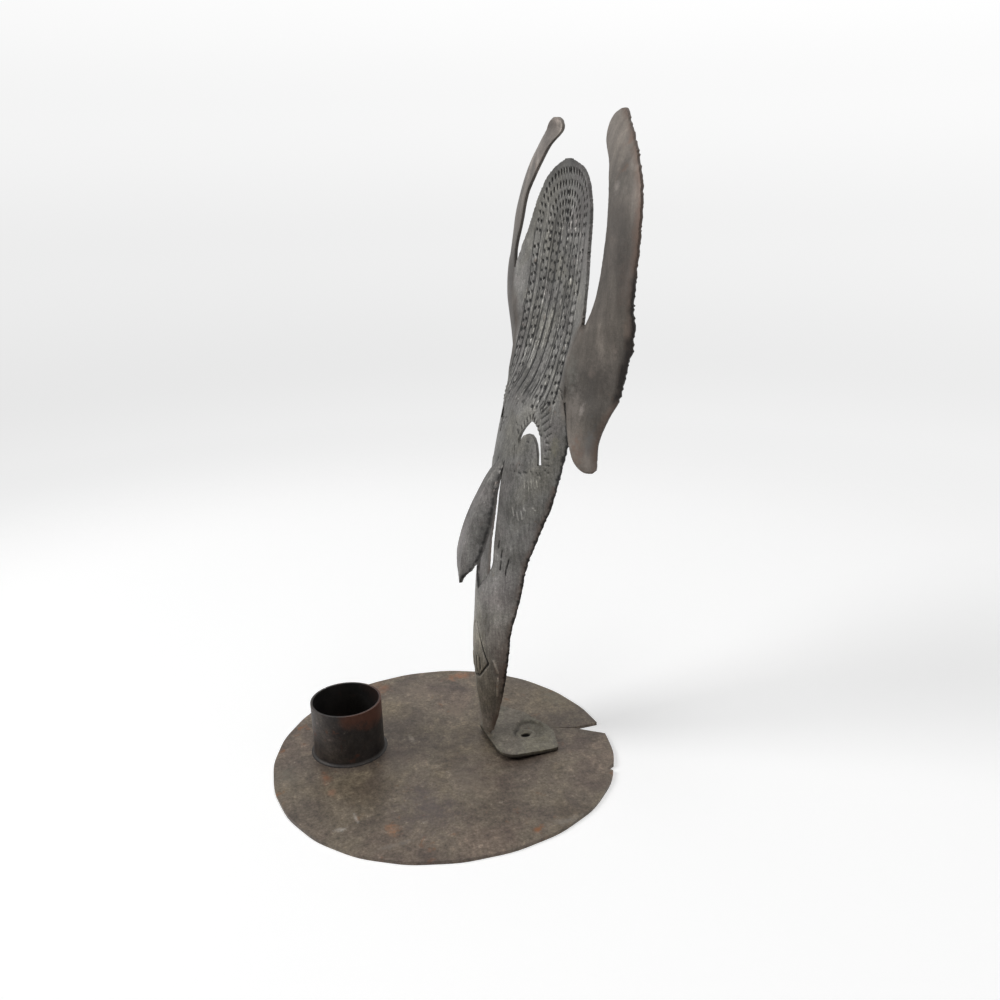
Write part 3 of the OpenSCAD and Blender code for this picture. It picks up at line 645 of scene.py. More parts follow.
# Round each eye: lashes cut in from the rim, long slanted strokes for the brow, short ones down the side,
# small marks on the lower lid and a fan of fine raised strokes below it; the cheek has a few deep lines.
for side in (-1, 1):
    def mark(a0, z0, a1, z1, thick=0.32, depth=0.3):
        stroke(side * a0, z0, side * a1, z1, thick * (0.66 if z0 > 95 else 0.8), depth * (0.8 if z0 > 95 else 1))
    for a0, z0, a1, z1 in (
            (6.4, 115.2, 7.6, 114.2), (7.8, 116.8, 8.9, 115.9), (8.9, 118.2, 9.9, 117.3), (9.9, 119.7, 10.9, 118.4),
            (11.2, 121.0, 12.0, 119.6), (12.7, 121.5, 12.9, 120.0), (14.0, 120.6, 14.0, 119.2),
            (15.3, 119.6, 15.0, 118.6), (16.6, 118.4, 15.9, 117.6), (17.5, 117.0, 16.9, 116.2),
            (18.6, 115.6, 17.9, 115.0)):
        mark(a0, z0, a1, z1, 0.4, 0.42)
    for a0, z0, a1, z1 in (
            (13.5, 126.0, 13.0, 123.6), (15.5, 126.2, 14.5, 123.6), (17.3, 125.9, 15.3, 123.2),
            (18.3, 124.8, 16.2, 122.2), (19.5, 122.9, 16.9, 120.6), (20.1, 120.9, 18.0, 118.9),
            (21.4, 118.9, 19.4, 117.1), (22.6, 117.0, 20.1, 114.9), (21.0, 131.0, 22.8, 130.0),
            (22.7, 129.2, 23.9, 127.8)):
        mark(a0, z0, a1, z1, 0.36, 0.34)
    for a0, z0, a1, z1 in (
            (21.0, 113.6, 22.9, 114.0), (21.3, 111.2, 23.4, 111.6), (21.5, 108.5, 23.8, 108.8),
            (22.0, 106.3, 23.8, 106.4), (22.3, 104.8, 24.1, 104.1), (8.2, 104.0, 9.2, 104.0),
            (11.5, 104.7, 12.5, 104.4), (9.2, 102.6, 10.3, 102.2), (11.5, 102.5, 12.9, 102.2),
            (14.1, 103.1, 15.7, 102.8), (16.9, 103.9, 17.8, 103.0), (19.0, 103.9, 20.2, 102.9),
            (20.7, 103.9, 21.2, 102.7), (6.6, 110.0, 7.4, 108.4), (7.3, 107.6, 7.9, 106.2),
            (3.9, 117.6, 5.8, 116.5), (12.6, 112.9, 13.7, 112.7)):
        mark(a0, z0, a1, z1, 0.34, 0.3)
    for a0, z0, a1, z1 in (
            (13.9, 101.4, 14.7, 100.0), (15.2, 100.9, 16.1, 98.0), (16.8, 100.6, 18.0, 97.5),
            (18.1, 101.1, 18.8, 98.4), (19.1, 101.0, 19.8, 98.6), (20.0, 101.2, 21.1, 98.9),
            (20.9, 102.5, 21.6, 101.4), (14.7, 89.3, 15.6, 87.0), (16.3, 90.0, 17.0, 87.5),
            (17.2, 91.4, 17.9, 90.3), (12.4, 90.7, 13.7, 88.3), (20.2, 92.1, 21.6, 91.1)):
        mark(a0, z0, a1, z1, 0.4, -0.22)
    for a0, z0, a1, z1 in (
            (9.0, 78.2, 9.0, 75.8), (10.8, 75.4, 10.8, 72.8), (10.9, 71.4, 10.8, 68.4),
            (13.8, 72.6, 13.3, 69.4), (13.1, 69.4, 13.0, 66.8), (0.9, 46.2, 4.3, 40.1), (4.3, 40.1, 7.6, 32.4),
            (7.6, 32.4, 3.2, 26.7), (3.2, 26.7, 0.0, 25.6), (3.5, 33.4, 3.4, 28.8), (1.4, 33.4, 1.4, 27.9)):
        mark(a0, z0, a1, z1, 0.3 if z1 > 40 or z0 > 45 else 0.36, 0.34 if z1 > 40 else 0.46)
    for a0, z0, a1, z1 in ((2.5, 33.6, 2.4, 28.6), (9.6, 34.4, 10.8, 29.2), (10.6, 27.1, 9.2, 19.2)):
        mark(a0, z0, a1, z1, 0.5, -0.26)


def chase(a, z):
    """Depth of the chasing at each place of the head: above zero punched in, below zero standing up."""
    depth = np.zeros_like(a)
    # ground of the ladders with ruled lines beside it, which fade out above the arches' foot
    q = row_of(a, z)
    half = half_width(np.minimum(z, dome_z), a)
    fade = ease((z - 124) / 4) * ease((184 - z) / 8) * ease((half - np.abs(a)) / 1.5)
    for left, right in ((-2.4, 2.4), (2.95, 7.25), (8.9, 13.4), (16.1, 20.2)):
        depth += fade * 0.03 * ease((q - left) / 0.4) * ease((right - q) / 0.4)
        for line in (left, right):
            # the chisel bit deeper and less deep along a line
            press = 0.8 + 0.35 * np.sin(z * 0.9 + line) * np.sin(z * 0.31 + 2 * line) + 0.5 * ease((162 - z) / 18)
            depth += fade * (0.3 if line > 0 else 0) * press * np.exp(-((q - line) / 0.38) ** 2)
    order = np.argsort(z)
    ordered = z[order]
    for a0, z0, a1, z1, thick, deep in strokes:
        reach = 2.2 * thick
        first = np.searchsorted(ordered, min(z0, z1) - reach)
        last = np.searchsorted(ordered, max(z0, z1) + reach)
        here = order[first:last]
        here = here[(a[here] > min(a0, a1) - reach) & (a[here] < max(a0, a1) + reach)]
        da, dz = a1 - a0, z1 - z0
        t = np.clip(((a[here] - a0) * da + (z[here] - z0) * dz) / (da * da + dz * dz), 0, 1)
        apart = np.hypot(a[here] - a0 - t * da, z[here] - z0 - t * dz) / thick
        shape = deep * ease((1.4 - apart) / 1.0)
        depth[here] = np.where(np.abs(shape) > 0.03, np.where(shape > 0, np.maximum(depth[here], depth[here] * 0.5 + shape), depth[here] + shape), depth[here])
    return depth


def bent(a, k, d):
    """Place across and back for distance a along a sheet of bend k, at depth d below its front."""
    k = np.where(np.abs(k) < 1e-5, 1e-5, k)
    return np.sin(a * k) / k - d * np.sin(a * k), (1 - np.cos(a * k)) / k + d * np.cos(a * k)


# Now the blank is shaped: each point goes from its place on the flat to its place on the mask.
points = np.empty(len(mask.data.vertices) * 3)
mask.data.vertices.foreach_get("co", points)
across, d, z = (points.reshape(-1, 3) * 1000).T
depth_now = d
shaped = np.empty((len(z), 3))
dents_and_shade, proud_and_highlight, smooth = np.zeros(len(z)), np.zeros(len(z)), np.ones(len(z))
from_edge, shaded_edge_band = np.zeros(len(z)), np.zeros(len(z))

head = np.abs(across) < 34
a, h, deep = across[head], np.minimum(z[head], dome_z), d[head]
half = half_width(h, a)
slope = (along(h + 0.2, HEAD, 3) - along(np.maximum(h - 0.2, 1.6), HEAD, 3)) / 0.4
slope = np.clip(slope, -8, 8)
notch = np.where(a > 0, notch_z, far_notch_z)
free = 1 - ease((h - slit_z + 0.4) / 0.8) * ease((notch + 0.4 - h) / 0.8)
bite = (0.5 + 0.25 * ease((h - 150) / 20)) * chisel(h - np.abs(a) + 40 * np.sign(a), 1.9, 2.0) * (0.75 + 0.25 * deep / sheet)
bite = bite * free * np.clip(1 - (half - np.abs(a)) / 1.6, 0, 1) ** 1.5 * ease((h - 3) / 4)
a = a - np.sign(a) * bite / np.sqrt(1 + slope ** 2)
h = np.maximum(h + bite * np.where(slope < 0, slope, slope * 0.3) / np.sqrt(1 + slope ** 2), 1.6)
dent = chase(a, h)
around = sum(chase(a + p, h + q) for p, q in ((0.9, 0), (-0.9, 0), (0, 1.1), (0, -1.1))) / 4
rim = np.clip(1 - (half - np.abs(a)) / 0.7, 0, 1)
dented = deep + dent * (1 - 0.45 * deep / sheet)
# the hammer left the sheet slightly uneven
dented = dented + 0.13 * np.sin(a / 4.1 + h / 7.3 + 1.2) * np.sin(h / 6.1 - a / 7.9) * ease((h - 4) / 6)
x, y = bent(a, along(h, HEAD, 2), dented)
y = y + along(h, HEAD, 1)
up = h.copy()

# The nose: a tongue inside its kerf, hinged at the top, creased down its middle and pushed forward.
t = np.clip((nose_top - h) / nose_long, 0, 1)
width = nose_width(t)
front_x = np.sin(a * along(h, HEAD, 2)) / along(h, HEAD, 2)
tongue = (h < nose_top) & (h > nose_top - nose_long + 0.12) & (np.abs(front_x) < width - 0.12)
s = np.clip(front_x / np.maximum(width - kerf, 0.05), -1, 1)
nose_x = s * np.maximum(width - kerf, 0.02) * np.where(
    s > 0, 1 - 0.17 * np.minimum(1, 4 * t) - 0.23 * ease((t - 0.45) / 0.4), 1)
fold = np.minimum(1, 0.35 + 3 * t)
nose_y = (along(h, HEAD, 1) - nose_push * along(t, NOSE, 1) + dented
          + fold * np.where(nose_x > 0, 1.3 * (np.sqrt(nose_x ** 2 + 0.5) - 0.7), 0.12 * np.abs(nose_x)))
nose_z = nose_top - 0.4 * t - 0.93 * (nose_long - kerf) * t
blend = ease(t / 0.1)
x = np.where(tongue, x + blend * (nose_x - x), x)
y = np.where(tongue, y + blend * (nose_y - y), y)
up = np.where(tongue, up + blend * (nose_z - up), up)
shaped[head] = np.stack([x, y, up], 1)
dents_and_shade[head] = dent
# distance from the outline and from the nose's kerf
from_edge[head] = half - np.abs(a)
burr = tongue * (a > 0) * ease((0.3 - t) / 0.1) * ease((wander(h * 1.7, 5) + 0.4) / 0.5)
burr = burr * np.exp(-((np.abs(front_x) - width + 0.45) / 0.3) ** 2)
# painted shade: a dark band along the nose's kerf, wider beside the tongue's near edge, for the gap and the tongue's
# cut edge in shadow
kerf_shade = np.exp(-((np.abs(front_x) - width + 0.1)
                     / np.where(tongue & (a > 0), 1.0 + 0.45 * wander(h * 1.4, 8), 0.35)) ** 2)
kerf_shade = kerf_shade * (h < nose_top) * (h > nose_top - nose_long) * (0.72 + 0.28 * wander(h * 2.1, 4)) * (1 - burr)
# painted shade: the nose's near half darkens towards its edge, as it faces away from the light
turned_from_light = 0.15 * tongue * ease((s - 0.35) / 0.45) * (0.8 + 0.2 * wander(h * 0.8, 3)) * (1 - burr)
dents_and_shade[head] = np.maximum(np.maximum(dent, 0.36 * kerf_shade), turned_from_light)
# painted highlights: a bright line down the nose's crease and a streak on the left part of its near half
crease_highlight = np.exp(-(front_x / 0.55) ** 2) * tongue * ease((t - 0.1) / 0.2) * ease((0.85 - t) / 0.2)
ridge_highlight = np.exp(-((s - 0.3) / 0.13) ** 2) * tongue * ease((t - 0.15) / 0.2) * (0.5 + 0.5 * wander(h * 0.9, 2))
proud_and_highlight[head] = (np.clip((around - dent - 0.06) / 0.34, -1, 1) + 0.6 * np.clip(-dent / 0.16, 0, 1)
               + 0.5 * crease_highlight * (0.5 + 0.5 * wander(h * 3, 1)) + 0.3 * ridge_highlight + 1.1 * burr)
smooth[head] = ease(1 - (half - np.abs(a)) / 3.5) * ease((h - 118) / 8) * ease((160 - h) / 8)

# The side blades: an ear lobe below and a horn above, ruled from the inner to the outer edge.
blade = ~head
m = np.sign(across[blade])
u, h, deep = (np.abs(across[blade]) - blade_flat) / 20, np.clip(z[blade], lobe_z, tip_z), d[blade]
inner_x, outer_x = along(h, BLADE, 1), along(h, BLADE, 3)
inner_y, outer_y = along(h, BLADE, 2), along(h, BLADE, 4)
outer_z = along(h, BLADE, 5)
inner_x = inner_x - np.where(m > 0, 0.6 * ease((159 - h) / 7) * ease((h - 149.5) / 2.5),
                             1.0 * ease((171 - h) / 7) * ease((h - 163) / 1.5))
inner_y = inner_y + (m < 0) * along(h, FAR_TURN, 2)
outer_y = outer_y + (m < 0) * along(h, FAR_TURN, 1)
wide = np.hypot(outer_x - inner_x, outer_y - inner_y)
rough = 0.12 + 0.35 * ease((h - 126) / 6) + 0.35 * ease((175 - h) / 20) * ease((h - 126) / 6) + 0.3 * ease((h - 182) / 8)
bite = rough * (1 + 0.5 * wander(h * 0.6, 9)) * chisel(h + 90 * (m < 0), 2.1, 5.0) * (0.7 + 0.3 * deep / sheet) * np.clip(1 - (1 - u) * wide / 2.0, 0, 1) ** 1.3
notch = np.where(m > 0, notch_z, far_notch_z)
free = 1 - ease((h - slit_z + 0.4) / 0.8) * ease((notch + 0.4 - h) / 0.8)
bite_in = 0.2 * free * chisel(h + 50 * (m < 0), 2.3, 7.0) * np.clip(1 - u * wide / 1.6, 0, 1) ** 1.3
u = u - bite / np.maximum(wide, 2) + bite_in / np.maximum(wide, 2)
face_x, face_y = (outer_y - inner_y) / wide, -(outer_x - inner_x) / wide
camber = 0.7 + 0.7 * ease((150 - h) / 20)
lift = (camber * np.sin(np.pi * np.clip(u, 0, 1)) * np.minimum(1, wide / 12) - deep
        - 0.12 * np.sin(u * wide / 3.7 + h / 6.7) * np.sin(h / 5.3 - 1.1))
# the near blade's edge was hammered out to a bulge above the lobe
bulge = (m > 0) * ease((h - 138) / 4.5) * ease((160 - h) / 14) * np.clip(u, 0, 1) ** 5
x = inner_x + (outer_x - inner_x) * u + face_x * lift + 0.8 * bulge
y = inner_y + (outer_y - inner_y) * u + face_y * lift + 0.9 * bulge
shaped[blade] = np.stack([m * x, y, h + (outer_z - h) * u], 1)
from_edge[blade] = (1 - u) * wide
# painted shade: a band along the near blade's outer edge, which faces away from the light, is darkened
band = 1.5 + 1.1 * ease((151 - h) / 8) + 0.35 * wander(h * 0.9, 6)
shaded_edge_band[blade] = (np.clip((band - (1 - u) * wide) / 0.9, 0, 1) * (m > 0)
                      * ease((172 - h) / 14) * ease((h - 126) / 4))
# painted shade: along the cut edge of the near cheek and neck a narrow band is darkened, as that edge lies in shadow
cut_edge = 1.25 + 0.45 * wander(z * 2.3, 9)
shaded_edge_band[head] = (np.clip((cut_edge - from_edge) / 0.5, 0, 1) * (across > 0)
                     * ease((123 - z) / 4) * ease((z - 14) / 10))[head]
# the painted shade on the cut edges is weaker on the dome and on the blades
less_wall_shade = np.where(head, 0.65 * ease((z - 122) / 8), 0.5)

shaped += np.array([neck_side, neck_back, plate_top])
mask.data.vertices.foreach_set("co", (shaped * 0.001).ravel())
# besides the chased recesses this attribute carries painted shade: along the nose's kerf, over the nose's near half and
# in the tab's recess
chasing_and_shade = mask.data.attributes.new("chasing_and_shade", "FLOAT", "POINT")
front_only = depth_now < 0.6       # behind, the chasing only shows as low bumps
chasing_and_shade.data.foreach_set("value", np.clip(dents_and_shade / 0.45, -1, 1) * front_only)
# this attribute brightens raised, rubbed metal and carries the painted highlights of the nose
wear_and_highlight = mask.data.attributes.new("wear_and_highlight", "FLOAT", "POINT")
wear_and_highlight.data.foreach_set("value", np.where(front_only, proud_and_highlight, 0.4 * np.clip(dents_and_shade, 0, 1)))
hammered = mask.data.attributes.new("hammered", "FLOAT", "POINT")
hammered.data.foreach_set("value", smooth)
# painted shade on the cut edges: 1 on the wall of a cut and in the dark edge bands; and how near the outer edge is,
# from 1 at the edge to 0 at 5 mm
wall = mask.data.attributes.new("wall", "FLOAT", "POINT")
wall.data.foreach_set("value", np.maximum(
    np.clip(np.minimum(depth_now, sheet - depth_now) / 0.18, 0, 1) * (1 - less_wall_shade), shaded_edge_band))
border = mask.data.attributes.new("border", "FLOAT", "POINT")
border.data.foreach_set("value", np.clip(1 - from_edge / 4, 0, 1) * (1 - 0.7 * (head & (z > 100)) - 0.4 * (across < -34)))
mask.data.update()

# The back of the sheet needs far fewer faces than its chased front.
back = mask.vertex_groups.new(name="back")
back.add([int(i) for i in np.flatnonzero(depth_now > 0.9)], 1.0, "REPLACE")
modify(mask, "DECIMATE", ratio=0.62, vertex_group="back", vertex_group_factor=10)


# The tab: the foot's strap widens to a plate that is bent back, lifted at its front edge, and hammered
# down to the base round the rivet.
tab_wide, tab_deep, tab_lift, tab_gap = 36, 24, 1.7, 0.2
rivet_side, rivet_back, dimple_r = 7, 13.8, 6.8


def corner(x, y, r, first, last, n=8):
    return [(x + r * math.cos(t), y + r * math.sin(t))
            for t in (math.radians(first + (last - first) * k / n) for k in range(n + 1))]


near_end = tab_wide * 0.567
far_end = near_end - tab_wide
tab_edge = (corner(near_end - 6, 6, 6, -90, 0) + corner(near_end - 2.6, tab_deep - 4.4, 2.2, 0, 62)
            + corner(8.2, tab_deep - 13, 13, 66, 108) + corner(-4.6, tab_deep - 8.4, 4, 100, 122)
            + corner(far_end + 3.4, 9.6, 3.4, 122, 215) + [(-3.4, 0)])
bpy.ops.object.select_all(action="DESELECT")
bpy.ops.mesh.primitive_grid_add(x_subdivisions=84, y_subdivisions=56, size=1)
tab = bpy.context.object
tab.name = "tab"
tab.data.transform(Matrix.Translation((0.0024, 0.0125, 0)) @ Matrix.Diagonal((0.0378, 0.0262, 1, 1)))
modify(tab, "SOLIDIFY", thickness=0.0012, offset=1)


def upright_punch(outline, top):
    """A punch with this outline that stands on the tab's blank; z is up."""
    mesh = bpy.data.meshes.new("punch")
    mesh.from_pydata([(x * 0.001, y * 0.001, -0.001) for x, y in outline], [], [range(len(outline))])
    punch = bpy.data.objects.new("punch", mesh)
    scene.collection.objects.link(punch)
    bpy.ops.object.select_all(action="DESELECT")
    punch.select_set(True)
    bpy.context.view_layer.objects.active = punch
    bpy.ops.object.mode_set(mode="EDIT")
    bpy.ops.mesh.select_all(action="SELECT")
    bpy.ops.mesh.extrude_region_move(TRANSFORM_OT_translate={"value": (0, 0, top)})
    bpy.ops.mesh.select_all(action="SELECT")
    bpy.ops.mesh.normals_make_consistent(inside=False)
    bpy.ops.object.mode_set(mode="OBJECT")
    return punch


for outline, work in ((tab_edge, "INTERSECT"), (corner(rivet_side, rivet_back, 3.05, 0, 345, 23), "DIFFERENCE")):
    punch = upright_punch(outline, 0.0035)
    modify(tab, "BOOLEAN", operation=work, solver="EXACT", object=punch)
    bpy.data.objects.remove(punch)
points = np.empty(len(tab.data.vertices) * 3)
tab.data.vertices.foreach_get("co", points)
x, y, lift = (points.reshape(-1, 3) * 1000).T
from_rivet = np.hypot(x - rivet_side, y - rivet_back) - 3.6
from_dimple = np.hypot((x - 4.9) / 1.2, y - 16.6) - dimple_r + 2.4
slope = tab_lift * (1 - y / tab_deep)
pressed = 1 - ease(np.minimum(from_rivet, from_dimple) / 1.1)
under = np.maximum(slope * (1 - pressed), 0)
under = under + 0.1 * (np.sin(x / 3.1 + 1) * np.sin(y / 3.7)) * (under > 0.3)
recess = np.minimum(from_rivet, from_dimple)
# painted shade: the recess's wall on its side away from the light is darkened, and its pressed floor a little
shaded = np.exp(-((recess - 0.3) / 0.75) ** 2) * ease(0.5 - ((x - 5.5) + (y - 15.5)) / 7) + 0.3 * pressed
lift = lift * (1 - 0.3 * pressed)
points = np.stack([x + neck_side, y + neck_back + tab_gap, lift + under + plate_top], 1) * 0.001
tab.data.vertices.foreach_set("co", points.ravel())
tab.data.update()

mask.data.attributes.new("foot", "FLOAT", "POINT").data.foreach_set("value", np.zeros(len(mask.data.vertices)))
# painted shade on the tab: its lower edge is darkened as the shadow under its lifted front, and its recess as shade
for name, value in (("chasing_and_shade", 0.32 * shaded), ("wear_and_highlight", 0), ("hammered", 1), ("wall", 0.95 * (lift < 0.5)),
                    ("border", 0), ("foot", 1)):
    layer = tab.data.attributes.new(name, "FLOAT", "POINT")
    layer.data.foreach_set("value", np.zeros(len(tab.data.vertices)) + value)
mask.data.materials.clear()


def scale_colour(tree, colour, factor):
    """Colour times a factor that changes over the surface."""
    return node(tree, "ShaderNodeMix", {"Factor": 1.0}, {"A": colour, "B": factor}, data_type="RGBA",
                blend_type="MULTIPLY").outputs["Result"]


mask_steel, tree, out = new_material("chased_steel")
place = node(tree, "ShaderNodeTexCoord").outputs["Object"]
face_skin = patina_of(tree, (0.195, 0.189, 0.178), (0.118, 0.113, 0.104), (0.14, 0.095, 0.07), 0.37, 75, 2600, 0.7)
blade_skin = patina_of(tree, (0.155, 0.135, 0.118), (0.085, 0.075, 0.066), (0.14, 0.085, 0.06), 0.40, 42, 2200, 0.3)
sides = node(tree, "ShaderNodeAttribute", attribute_name="hammered", attribute_type="GEOMETRY").outputs["Fac"]
# fine strokes of the wire brush, mostly up and down
drawn_out = node(tree, "ShaderNodeMapping", {"Scale": (1, 1, 0.12)}, {"Vector": place})
strands = node(tree, "ShaderNodeTexNoise", {"Scale": 1700, "Detail": 3, "Roughness": 0.6}, {"Vector": drawn_out.outputs[0]})
brushed = scale_colour(tree, face_skin.outputs["Color"], ramp(tree, strands.outputs["Fac"], [
    (0.3, grey(0.8)), (0.5, grey(1.0)), (0.7, grey(1.28))]))
# the blades are forged: long soft streaks up and down
streaked = node(tree, "ShaderNodeMapping", {"Scale": (1, 1, 0.22)}, {"Vector": place})
streaks = node(tree, "ShaderNodeTexNoise", {"Scale": 210, "Detail": 6, "Roughness": 0.62, "Distortion": 0.3},
               {"Vector": streaked.outputs[0]})
forged = scale_colour(tree, blade_skin.outputs["Color"], ramp(tree, streaks.outputs["Fac"], [
    (0.32, grey(0.66)), (0.45, grey(0.9)), (0.56, grey(1.08)), (0.62, grey(1.3)), (0.7, grey(1.9))]))
brushed = scale_colour(tree, brushed, ramp(tree, streaks.outputs["Fac"], [
    (0.34, grey(0.78)), (0.5, grey(1.0)), (0.66, grey(1.3))]))
high = node(tree, "ShaderNodeSeparateXYZ", links={"Vector": place}).outputs["Z"]
level = node(tree, "ShaderNodeMapRange", {"From Min": 0.1, "From Max": 0.216}, {"Value": high}).outputs["Result"]
# the blades' colour is scaled with height: pale low on the lobes, darker in the middle and paler towards the horns'
# tips; the paler upper horns are painted light, lit more than the lower parts
forged = scale_colour(tree, forged, ramp(tree, level, [
    (0.05, grey(1.85)), (0.2, grey(1.1)), (0.4, grey(0.72)), (0.65, grey(0.8)), (0.82, grey(1.12)), (1.0, grey(1.4))]))
tall = node(tree, "ShaderNodeMapRange", {"From Min": 0.0, "From Max": 0.2}, {"Value": high}).outputs["Result"]
brushed = scale_colour(tree, brushed, ramp(tree, tall, [
    (0.08, (1.12, 1.02, 0.9)), (0.2, (1.16, 1.1, 1.02)), (0.32, grey(1.24)), (0.45, grey(0.85)),
    (0.6, grey(0.84)), (0.76, grey(1.0)), (0.88, grey(0.98)), (1.0, grey(0.6))]))
# on the near blade: painted shade in the dark hollow of the lobe, painted highlights on its rubbed high places, and
# rust
forged = blotches(tree, forged, (
    ((32.5, 46, 137), (9, 7, 13), (0.058, 0.05, 0.044), 0.75), ((29.5, 44, 130), (5, 4, 13), (0.062, 0.056, 0.05), 0.6),
    ((21, 41.3, 138), (5, 4, 12), (0.155, 0.15, 0.132), 0.7), ((24.5, 41.5, 127), (5, 4, 13), (0.18, 0.158, 0.142), 0.7),
    ((27.6, 42, 127), (1.8, 1.8, 3.6), (0.26, 0.23, 0.21), 0.7), ((29.0, 44.6, 138.7), (2.6, 2.6, 2.6), (0.19, 0.15, 0.13), 0.6),
    ((36.7, 48.4, 146), (1.8, 1.8, 4.5), (0.21, 0.175, 0.15), 0.7), ((40, 50.2, 153.5), (1.5, 1.6, 4.5), (0.19, 0.15, 0.12), 0.7),
    ((31.3, 43.3, 117), (3.4, 3.4, 10), (0.15, 0.155, 0.155), 0.6), ((27.6, 40.6, 113), (3.6, 3.6, 11), (0.195, 0.13, 0.098), 0.75),
    ((44.5, 53.4, 186), (4.6, 6, 30), (0.165, 0.112, 0.09), 0.75), ((31.8, 51.3, 192.4), (2.2, 2.2, 3.2), (0.26, 0.23, 0.21), 0.7),
    ((37, 50.6, 182), (6, 6, 8), (0.07, 0.062, 0.056), 0.55), ((40, 50.6, 166), (5, 5, 14), (0.1, 0.076, 0.064), 0.55)), 520)
joined = node(tree, "ShaderNodeMix", links={"Factor": sides, "A": brushed, "B": forged},
              data_type="RGBA").outputs["Result"]
# a dark rusty blotch where the near slit ends stands for the lump there, its rust and its painted shadow; the near
# cheek is yellowed and the neck's near side rusty
joined = blotches(tree, joined, (
    ((23.0, 45.3, 150), (2.4, 2.4, 4.4), (0.085, 0.045, 0.034), 0.85),
    ((18.7, 36.7, 114), (3, 4, 6), (0.21, 0.195, 0.14), 0.6),
    ((4.8, 22.5, 31), (4, 5, 20), (0.17, 0.11, 0.088), 0.6)), 900)
# the tab has kept the olive brown of the plate
tab_skin = patina_of(tree, (0.17, 0.155, 0.12), (0.115, 0.104, 0.08), (0.17, 0.10, 0.06), 0.36, 110, 1100, 0.8, 0.2)
footed = node(tree, "ShaderNodeAttribute", attribute_name="foot", attribute_type="GEOMETRY").outputs["Fac"]
joined = node(tree, "ShaderNodeMix", links={"Factor": footed, "A": joined, "B": tab_skin.outputs["Color"]},
              data_type="RGBA").outputs["Result"]
# rust creeps in from the outer edges
rim = node(tree, "ShaderNodeAttribute", attribute_name="border", attribute_type="GEOMETRY")
blotch = node(tree, "ShaderNodeTexNoise", {"Scale": 160, "Detail": 5, "Roughness": 0.65}, {"Vector": place})
creep = node(tree, "ShaderNodeMath", links={0: rim.outputs["Fac"], 1: blotch.outputs["Fac"]}, operation="MULTIPLY")
browned = node(tree, "ShaderNodeMix", {"B": (0.125, 0.085, 0.066, 1)}, {
    "Factor": ramp(tree, creep.outputs[0], [(0.15, grey(0.0)), (0.5, grey(0.8))]), "A": joined}, data_type="RGBA")
# darker in the chased recesses, and painted shade where that attribute carries it
depth = node(tree, "ShaderNodeAttribute", attribute_name="chasing_and_shade", attribute_type="GEOMETRY")
soot_and_shade = scale_colour(tree, browned.outputs["Result"], ramp(tree, depth.outputs["Fac"], [
    (0.0, grey(1.0)), (0.12, grey(0.92)), (0.45, grey(0.3)), (0.85, grey(0.04))]))
# painted shade: the cut walls, the dark edge bands and the tab's lower edge are darkened
cut = node(tree, "ShaderNodeAttribute", attribute_name="wall", attribute_type="GEOMETRY")
soot_and_shade = scale_colour(tree, soot_and_shade, ramp(tree, cut.outputs["Fac"], [(0.0, grey(1.0)), (0.85, grey(0.3)), (1.0, grey(0.14))]))
# brighter where raised metal is rubbed, and painted highlights on the nose
raised = node(tree, "ShaderNodeAttribute", attribute_name="wear_and_highlight", attribute_type="GEOMETRY")
bright = scale_colour(tree, soot_and_shade, ramp(tree, raised.outputs["Fac"], [
    (0.0, grey(1.0)), (0.15, grey(1.05)), (0.4, grey(1.32)), (0.9, grey(2.1))]))
gloss = node(tree, "ShaderNodeMapRange", {"From Min": 0.0, "From Max": 0.6, "To Min": 0.0, "To Max": -0.12},
             {"Value": raised.outputs["Fac"]})
rough = node(tree, "ShaderNodeMath", links={0: face_skin.outputs["Roughness"], 1: gloss.outputs["Result"]}, operation="ADD")
grain = node(tree, "ShaderNodeMath", {1: 1.2}, {0: strands.outputs["Fac"], 2: face_skin.outputs["Height"]},
             operation="MULTIPLY_ADD")
relief = node(tree, "ShaderNodeBump", {"Strength": 0.7, "Distance": 0.0001}, {"Height": grain.outputs[0]})
skin = node(tree, "ShaderNodeBsdfPrincipled", {"Metallic": 0.55},
            {"Base Color": bright, "Roughness": rough.outputs[0], "Normal": relief.outputs["Normal"]})
tree.links.new(skin.outputs[0], out.inputs["Surface"])
mask.data.materials.append(mask_steel)
tab.data.materials.append(mask_steel)
bpy.ops.object.select_all(action="DESELECT")
tab.select_set(True)
mask.select_set(True)
bpy.context.view_layer.objects.active = mask
bpy.ops.object.join()
bpy.ops.object.shade_smooth_by_angle(angle=math.radians(50))
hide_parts("mask_sheet")
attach(mask, "root")

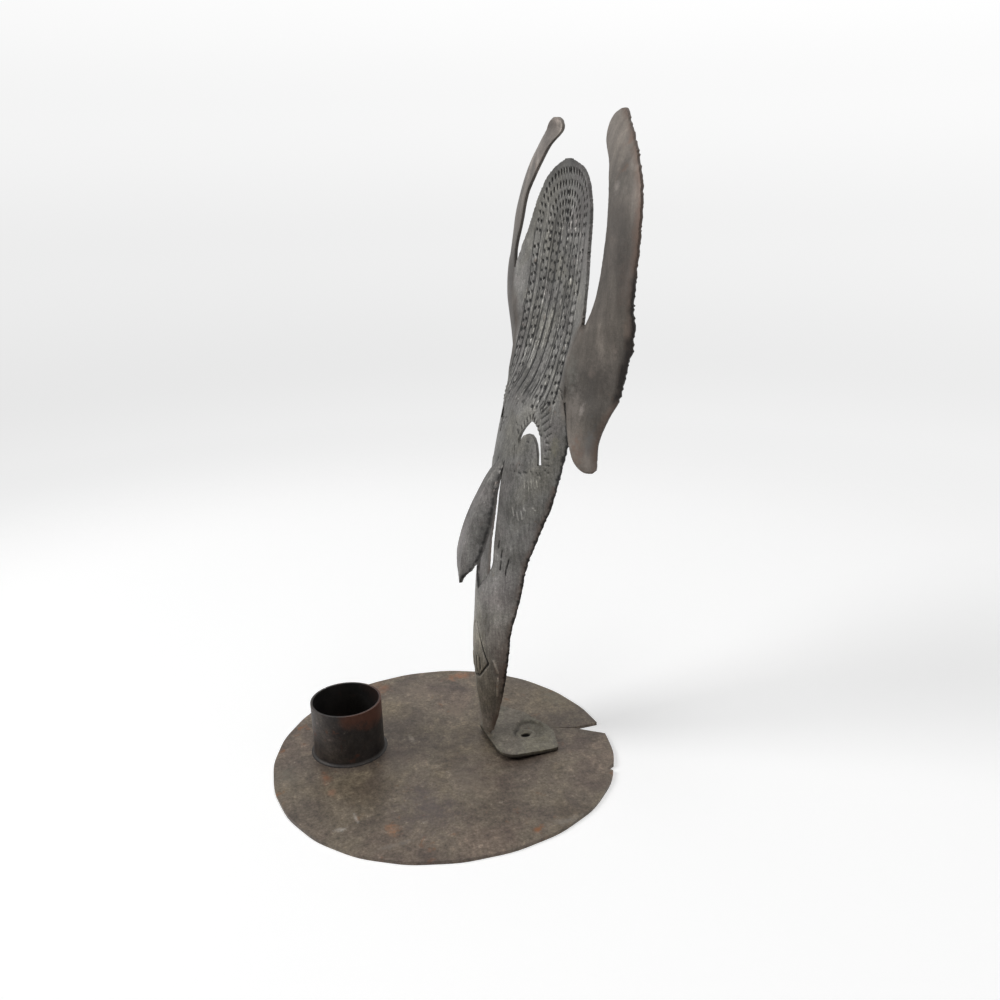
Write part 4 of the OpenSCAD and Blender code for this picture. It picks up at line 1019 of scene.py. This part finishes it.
# Rivet: a hollow steel rivet through the tab and the plate, hammered flat so that its mouth closed to a lens.
rivet_x, rivet_y = (neck_side + rivet_side) * 0.001, (neck_back + tab_gap + rivet_back) * 0.001
bpy.ops.object.select_all(action="DESELECT")
bpy.ops.mesh.primitive_circle_add(vertices=40, radius=0.00305, fill_type="NGON", location=(rivet_x, rivet_y, 0.0004))
rivet = bpy.context.object
rivet.name = "flattened_rivet"
bpy.ops.object.mode_set(mode="EDIT")
bpy.ops.mesh.select_mode(type="FACE")
bpy.ops.mesh.select_all(action="SELECT")
bpy.ops.mesh.extrude_region_move(TRANSFORM_OT_translate={"value": (0, 0, 0.00165)})
bpy.ops.mesh.extrude_region_move(TRANSFORM_OT_translate={"value": (0, 0, 0.00015)})
bpy.ops.transform.resize(value=(1.2, 1.2, 1))
bpy.ops.mesh.extrude_region_move(TRANSFORM_OT_translate={"value": (0, 0, 0.00012)})
bpy.ops.transform.resize(value=(0.82, 0.82, 1))
for inward, down in (((0.86, 0.9), -0.00003), ((0.8, 0.88), -0.0001), ((0.74, 0.82), -0.0001)):
    bpy.ops.mesh.extrude_region_move(TRANSFORM_OT_translate={"value": (0, 0, down)})
    bpy.ops.transform.resize(value=(*inward, 1))
bpy.ops.mesh.extrude_region_move(TRANSFORM_OT_translate={"value": (0, 0, -0.00015)})
bpy.ops.transform.resize(value=(0.85, 0.92, 1))
bpy.ops.mesh.extrude_region_move(TRANSFORM_OT_translate={"value": (0, 0, -0.001)})
bpy.ops.transform.resize(value=(0.9, 0.9, 1))
bpy.ops.mesh.select_all(action="SELECT")
bpy.ops.mesh.normals_make_consistent(inside=False)
bpy.ops.object.mode_set(mode="OBJECT")
bpy.ops.object.transform_apply(location=True, rotation=True, scale=True)
bpy.ops.object.shade_smooth_by_angle(angle=math.radians(40))
rivet_steel, tree, out = new_material("hammered_rivet")
mix = patina_of(tree, (0.165, 0.15, 0.118), (0.105, 0.095, 0.075), (0.13, 0.075, 0.05), 0.37, 150, 1100, 0.8, 0.2)
# painted shade: the rivet darkens to near-black with depth below its dished top, down into its mouth
high = node(tree, "ShaderNodeSeparateXYZ", links={"Vector": node(tree, "ShaderNodeTexCoord").outputs["Object"]})
deep = node(tree, "ShaderNodeMapRange", {"From Min": 0.0013, "From Max": 0.0021}, {"Value": high.outputs["Z"]})
mouth_shaded_tone = scale_colour(tree, mix.outputs["Color"], ramp(tree, deep.outputs["Result"], [(0.0, grey(0.05)), (0.7, grey(0.9)), (1.0, grey(1.0))]))
skin = node(tree, "ShaderNodeBsdfPrincipled", {"Metallic": 0.3}, {"Base Color": mouth_shaded_tone, "Roughness": mix.outputs["Roughness"]})
tree.links.new(skin.outputs[0], out.inputs["Surface"])
rivet.data.materials.append(rivet_steel)
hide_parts("rivet")
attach(rivet, "root")

low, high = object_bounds()
